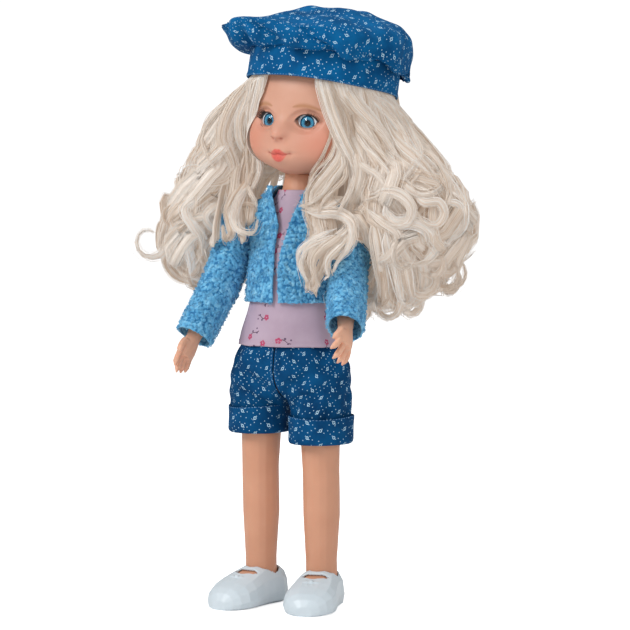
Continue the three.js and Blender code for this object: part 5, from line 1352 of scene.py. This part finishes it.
def hair_locks(rows, strands, seed, shares, wave, roll, clumps=38, sector=(0, 360), width=4.4):
    """Curly hair in the shape of a mass: locks fall, wind wider on the way and roll up at their ends."""
    rng = np.random.default_rng(seed)
    rows = np.asarray(rows, float)
    low, high = rows[0, 0], rows[-1, 0]
    fall = np.linspace(0, 1, STEPS - CURL_STEPS)
    curl = np.linspace(0, 1, CURL_STEPS + 1)[1:]
    bundles = []
    for index in range(clumps):
        angle = math.radians(sector[0] + (sector[1] - sector[0]) * (index + rng.uniform(-0.3, 0.3)) / clumps)
        share = rng.uniform(*shares)
        reach = rng.uniform(0.7, 0.95)
        heights = high + ROOT_RISE - (high + ROOT_RISE - low) * reach * fall
        x, y, half_x, half_y = smooth_rows(rows, heights).T
        drift = angle + rng.uniform(-0.3, 0.3) * fall**2
        outward = points_of(np.cos(drift), np.sin(drift), 0)
        tangential = points_of(-np.sin(drift), np.cos(drift), 0)
        centre = points_of(x, y, heights) + outward * points_of(half_x, half_y, 0) * share
        phase = 2.4 * math.sin(index * 0.8 + seed) + rng.normal(0, 0.9)
        turns = (high - low) * reach
        winding = rng.choice([-1, 1]) * 2 * np.pi * (turns / rng.uniform(36, 52)) * fall**1.5 + phase
        grow = wave * soft(fall, 0.12, 0.75) * rng.uniform(0.6, 1.3)
        centre = centre + tangential * (grow * np.cos(winding))[:, None]
        centre = centre + outward * (0.6 * grow * np.sin(winding))[:, None]
        centre[:, 2] += 0.45 * grow * np.sin(winding * 2)
        size = rng.uniform(0.7, 1.3) * roll
        inward = unit(-outward[-1] * rng.choice([1, 1, -0.6]) + tangential[-1] * rng.uniform(-1.1, 1.1))
        around = curl * math.radians(rng.uniform(180, 320))
        shrink = size * (1 - 0.35 * curl)
        arc = inward * (size - shrink * np.cos(around))[:, None]
        arc = arc + tangential[-1] * (rng.uniform(-4, 4) * curl)[:, None]
        arc[:, 2] -= shrink * np.sin(around)
        centre = under_band(np.concatenate([centre, centre[-1] + arc]))
        outward = np.concatenate([outward, np.repeat(outward[-1:], CURL_STEPS, 0)])
        # Partly painted shade: locks deeper in the mass take a darker tone, with a random spread.
        tone = 0.5 + 0.35 * (share - 0.6) + rng.normal(0, 0.12)
        bundles.append(bundle(centre, outward, width, strands, rng, tone))
    return gathered(bundles, np.asarray)


def gathered(bundles, to_head):
    """Strand lines, their tones and the locks' rings, under the band and clear of the doll."""
    lines, tones, rings = zip(*bundles)
    lines, rings = (kept_clear(from_head(under_band(to_head(points))))
                    for points in (np.concatenate(lines), np.stack(rings)))
    return lines, np.concatenate(tones), rings


def on_mass(key, across, up):
    """Place on a mass's front, as the camera sees it, for places across and up in the picture."""
    toward = np.array([math.sin(SEEN_FROM), -math.cos(SEEN_FROM), 0])
    aside = np.array([math.cos(SEEN_FROM), math.sin(SEEN_FROM), 0])
    ray = toward @ HEAD_AXES
    depth = np.full(len(across), 25.0)
    for _ in range(3):
        shrink = (CAMERA_FAR - depth) / CAMERA_FAR
        start = (across * shrink)[:, None] * aside
        start[:, 2] += CAMERA_PLACE[2] + (up - CAMERA_PLACE[2]) * shrink
        local = in_head(start)
        x, y, half_x, half_y = smooth_rows(HAIR_ROWS["back" if key == "nape" else key], local[:, 2]).T
        px, py = (local[:, 0] - x) / half_x, (local[:, 1] - y) / half_y
        vx, vy = ray[0] / half_x, ray[1] / half_y
        a, b, c = vx**2 + vy**2, px * vx + py * vy, px**2 + py**2 - 1
        depth = (-b + np.sqrt(np.maximum(b**2 - a * c, 0))) / a
    return start + depth[:, None] * toward


def seen_locks(keys, strands, seed):
    """The photographed locks that lie on the named masses."""
    rng = np.random.default_rng(seed)
    toward = np.array([math.sin(SEEN_FROM), -math.cos(SEEN_FROM), 0.1])
    bundles = []
    for key, width, spots in SEEN_LOCKS:
        if key not in keys:
            continue
        spots = np.array(spots, float)
        rooted = spots[0, 1] > UNDER_BAND_START
        if rooted:
            spots = np.concatenate([spots[:1] + (0, 8), spots])
        along = run_of(spots)
        across, up = smooth_rows(np.column_stack([along, spots]), np.linspace(0, along[-1], STEPS)).T
        centre = on_mass(key, across, up)
        padded = np.pad(centre, ((2, 2), (0, 0)), "edge")
        even = np.stack([np.convolve(padded[:, axis], np.ones(5) / 5, "valid") for axis in range(3)], -1)
        centre = centre + toward * ((even - centre) @ toward)[:, None] + toward * rng.uniform(0, 2.5)
        if not rooted:
            centre = centre - toward * (4 * (1 - soft(np.linspace(0, 1, STEPS), 0, 0.25)))[:, None]
        count = max(8, int(strands * width / 3))
        outward = np.broadcast_to(toward, centre.shape)
        # These front locks take a light tone, as the hair is darkened deeper in as painted shade.
        bundles.append(bundle(centre, outward, width * 0.7, count, rng, 0.7 + rng.normal(0, 0.12), rooted))
    return gathered(bundles, in_head)


def add_strands(name, locks, look, replaces=()):
    """Adds locks of hair, with the tone and the grain of each strand and lock."""
    lines, tones, rings = locks
    count, steps, sides = len(lines), lines.shape[1], 3
    radii = STRAND_RADIUS * (1 - 0.8 * np.linspace(0, 1, steps) ** 6)[None] * np.ones((count, 1))
    points, quads = tubes(lines, *line_frames(lines), radii, sides)
    ring_quads, _ = grid_faces(STEPS, LOCK_SIDES, True)
    starts = len(points) + np.arange(len(rings)) * STEPS * LOCK_SIDES
    quads = np.concatenate([quads, (ring_quads + starts[:, None, None]).reshape(-1, 4)])
    points = np.concatenate([points, rings.reshape(-1, 3)])
    lock = np.arange(len(rings))[:, None, None]
    lock_grain = lock * 3.1 + np.cos(circle(LOCK_SIDES)) * 0.9
    masks = {}
    for mask, strand, ring in (("tone", tones, 0.5 + 0.14 * np.sin(lock * 2.3)),
                               ("grain", np.arange(count) * 0.37, lock_grain)):
        masks[mask] = np.concatenate([np.repeat(strand, steps * sides),
                                      np.broadcast_to(ring, rings.shape[:3]).ravel()])
    piece(name, points, quads, look, "head", "blond_hair", replaces, masks=masks, bend=("torso", *HAIR_BEND))


def add_core(key, look, full):
    """The dense inner hair of a mass, ridged like packed strands, darker as painted shade."""
    rows = np.asarray(HAIR_ROWS[key], float)
    heights = np.linspace(rows[0, 0] + 14, rows[-1, 0], 60)[:, None]
    turn = circle(160)
    x, y, half_x, half_y = smooth_rows(rows, heights[:, 0]).T[..., None]
    ridge = 0.8 * np.sin(turn * 23 + 0.08 * heights) + 0.7 * np.sin(turn * 37 - 0.05 * heights)
    close = full * np.sin(np.clip((heights - heights[0]) / 16, 0, 1) * np.pi / 2) ** 0.6 + 0.02
    wide, deep = half_x * close + ridge, half_y * close + ridge
    points = points_of(x + wide * np.cos(turn), y + deep * np.sin(turn), heights)
    # Painted shade: the core's tone is darker than the locks lying over it.
    around = {"tone": 0.35 + 0.12 * np.sin(turn * 23), "grain": np.sin(turn) * 12}
    masks = {key: np.tile(values, len(heights)) for key, values in around.items()}
    net_piece(f"hair_{key}_core", kept_clear(from_head(points)), look, "head", "blond_hair", [f"hair_{key}"],
              masks=masks, bend=("torso", *HAIR_BEND))


def make_scalp(look):
    """Hair combed over the scalp, open at the face, with combed ridges."""
    up = np.linspace(-30, 88, 90)[:, None]
    open_half = np.radians(np.interp(up, [-30, -15, 5, 20, 35, 88], [88, 68, 46, 41, 36, 20]))
    share = np.linspace(-1, 1, 420)
    azimuth = (share * (np.pi - open_half) + 2 * np.pi) % (2 * np.pi) - np.pi
    distance, direction = skull(azimuth, np.radians(up))
    edge = soft(1 - np.abs(share), 0, 0.03)
    comb = 0.22 * np.sin(share * 260) + 0.16 * np.sin(share * 427 + 1)
    points = direction * (distance + 2.4 * edge + comb * edge + 0.25)[..., None] + HEAD_CENTRE
    flat, quads, _ = cloth_shell(points, 0.6, False)
    # Painted light and shade: the tone is lighter on the combed ridges and darker in the grooves between
    # them.
    across = {"tone": 0.6 + 0.15 * np.sin(share * 260), "grain": share * 24}
    masks = {key: np.tile(values, 2 * len(up)) for key, values in across.items()}
    piece("scalp_hair", from_head(flat), quads, look, "head", "blond_hair", ["hair_cap"], masks=masks)


def make_hair():
    """Scalp, cores, two layers of curls on each mass, and the locks of the photograph."""
    look = hair_look()
    make_scalp(look)
    for key, full in (("left", 0.62), ("right", 0.62), ("back", 0.8)):
        add_core(key, look, full)
    count = 44
    side_mass, back_mass = ((0.76, 0.96), (0.56, 0.8), 8.0, 8.5), ((0.8, 0.98), (0.6, 0.82), 6.5, 7.5)
    for key, seed, (outer, inner, wave, roll) in (("left", 1, side_mass), ("right", 2, side_mass),
                                                  ("back", 3, back_mass)):
        for layer, shares, shift, reach in (("outer", outer, 0, 20), ("inner", inner, 50, 48)):
            sector = (-reach, 180 + reach) if key == "back" else (0, 360)
            locks = hair_locks(HAIR_ROWS[key], count, seed + shift, shares, wave, roll, sector=sector)
            add_strands(f"hair_{key}_{layer}", locks, look)
    for side, seed in (("left", 4), ("right", 5)):
        rows = HAIR_ROWS[f"lock_{side}"]
        locks = hair_locks(rows, count * 2, seed, (0.2, 0.8), 2.6, 4.0, clumps=9, width=3.0)
        add_strands(f"lock_{side}_strands", locks, look, [f"hair_lock_{side}"])
        keys = (side, f"lock_{side}") + (("nape",) if side == "right" else ())
        add_strands(f"curls_{side}", seen_locks(keys, count, 60 + seed), look)


# Studio
def make_studio():
    """White surroundings, a floor that shows as white and takes a soft shadow, and three lamps."""
    world = bpy.data.worlds.new("studio")
    bpy.context.scene.world = world
    world.use_nodes = True
    tree = world.node_tree
    lit = tree.nodes["Background"]
    seen = tree.nodes.new("ShaderNodeBackground")
    for background, strength in ((lit, 0.47), (seen, 1.05)):
        background.inputs["Color"].default_value = (1, 1, 1, 1)
        background.inputs["Strength"].default_value = strength
    path = tree.nodes.new("ShaderNodeLightPath")
    choose = tree.nodes.new("ShaderNodeMixShader")
    for index, output in enumerate((path.outputs["Is Camera Ray"], lit.outputs[0], seen.outputs[0])):
        tree.links.new(output, choose.inputs[index])
    tree.links.new(choose.outputs[0], tree.nodes["World Output"].inputs["Surface"])

    look = Look("floor", Roughness=0.9, Base_Color=(0.9, 0.9, 0.9, 1))
    seen = look.times(look.node("ShaderNodeLightPath").outputs["Is Camera Ray"], 0.68)
    glow = look.node("ShaderNodeEmission", {"Strength": seen})
    look.show(look.node("ShaderNodeAddShader", [look.shader.outputs[0], glow.outputs[0]]))
    mesh = bpy.data.meshes.new("floor")
    reach = 6.0
    corners = [(-reach, -reach, 0), (reach, -reach, 0), (reach, reach, 0), (-reach, reach, 0)]
    mesh.from_pydata(corners, [], [(0, 1, 2, 3)])
    mesh.materials.append(look.material)
    floor = added("floor", mesh)

    aim = Vector(place((0, 0, 200)))
    for name, spot, size, power in (
        # place in metres from the doll, size, power
        ("key", (-0.75, -1.4, 1.1), 0.8, 20.0),
        ("fill", (1.5, -0.9, 0.5), 1.1, 6.0),
        ("top", (0.2, 0.3, 1.6), 1.0, 8.0),
    ):
        data = bpy.data.lights.new(name, "AREA")
        data.shape = "DISK"
        data.size = size
        data.energy = power
        aimed(added(name, data), aim + Vector(spot), -Vector(spot))


bpy.context.scene.view_settings.view_transform = "Standard"
make_studio()
make_head()
eye_materials = eye_looks()
lash_fibre = plain_look("lash", 800, 2, (26, 18, 16), (48, 32, 28), (2500, 2, 0.02, 0.3), Roughness=0.5)
for eye_side, eye_sign in SIDES.items():
    make_eye(eye_side, eye_sign, *eye_materials)
    make_lashes(eye_side, eye_sign, lash_fibre)
make_body()
make_tshirt()
make_jacket()
make_shorts()
make_beret()
make_hair()
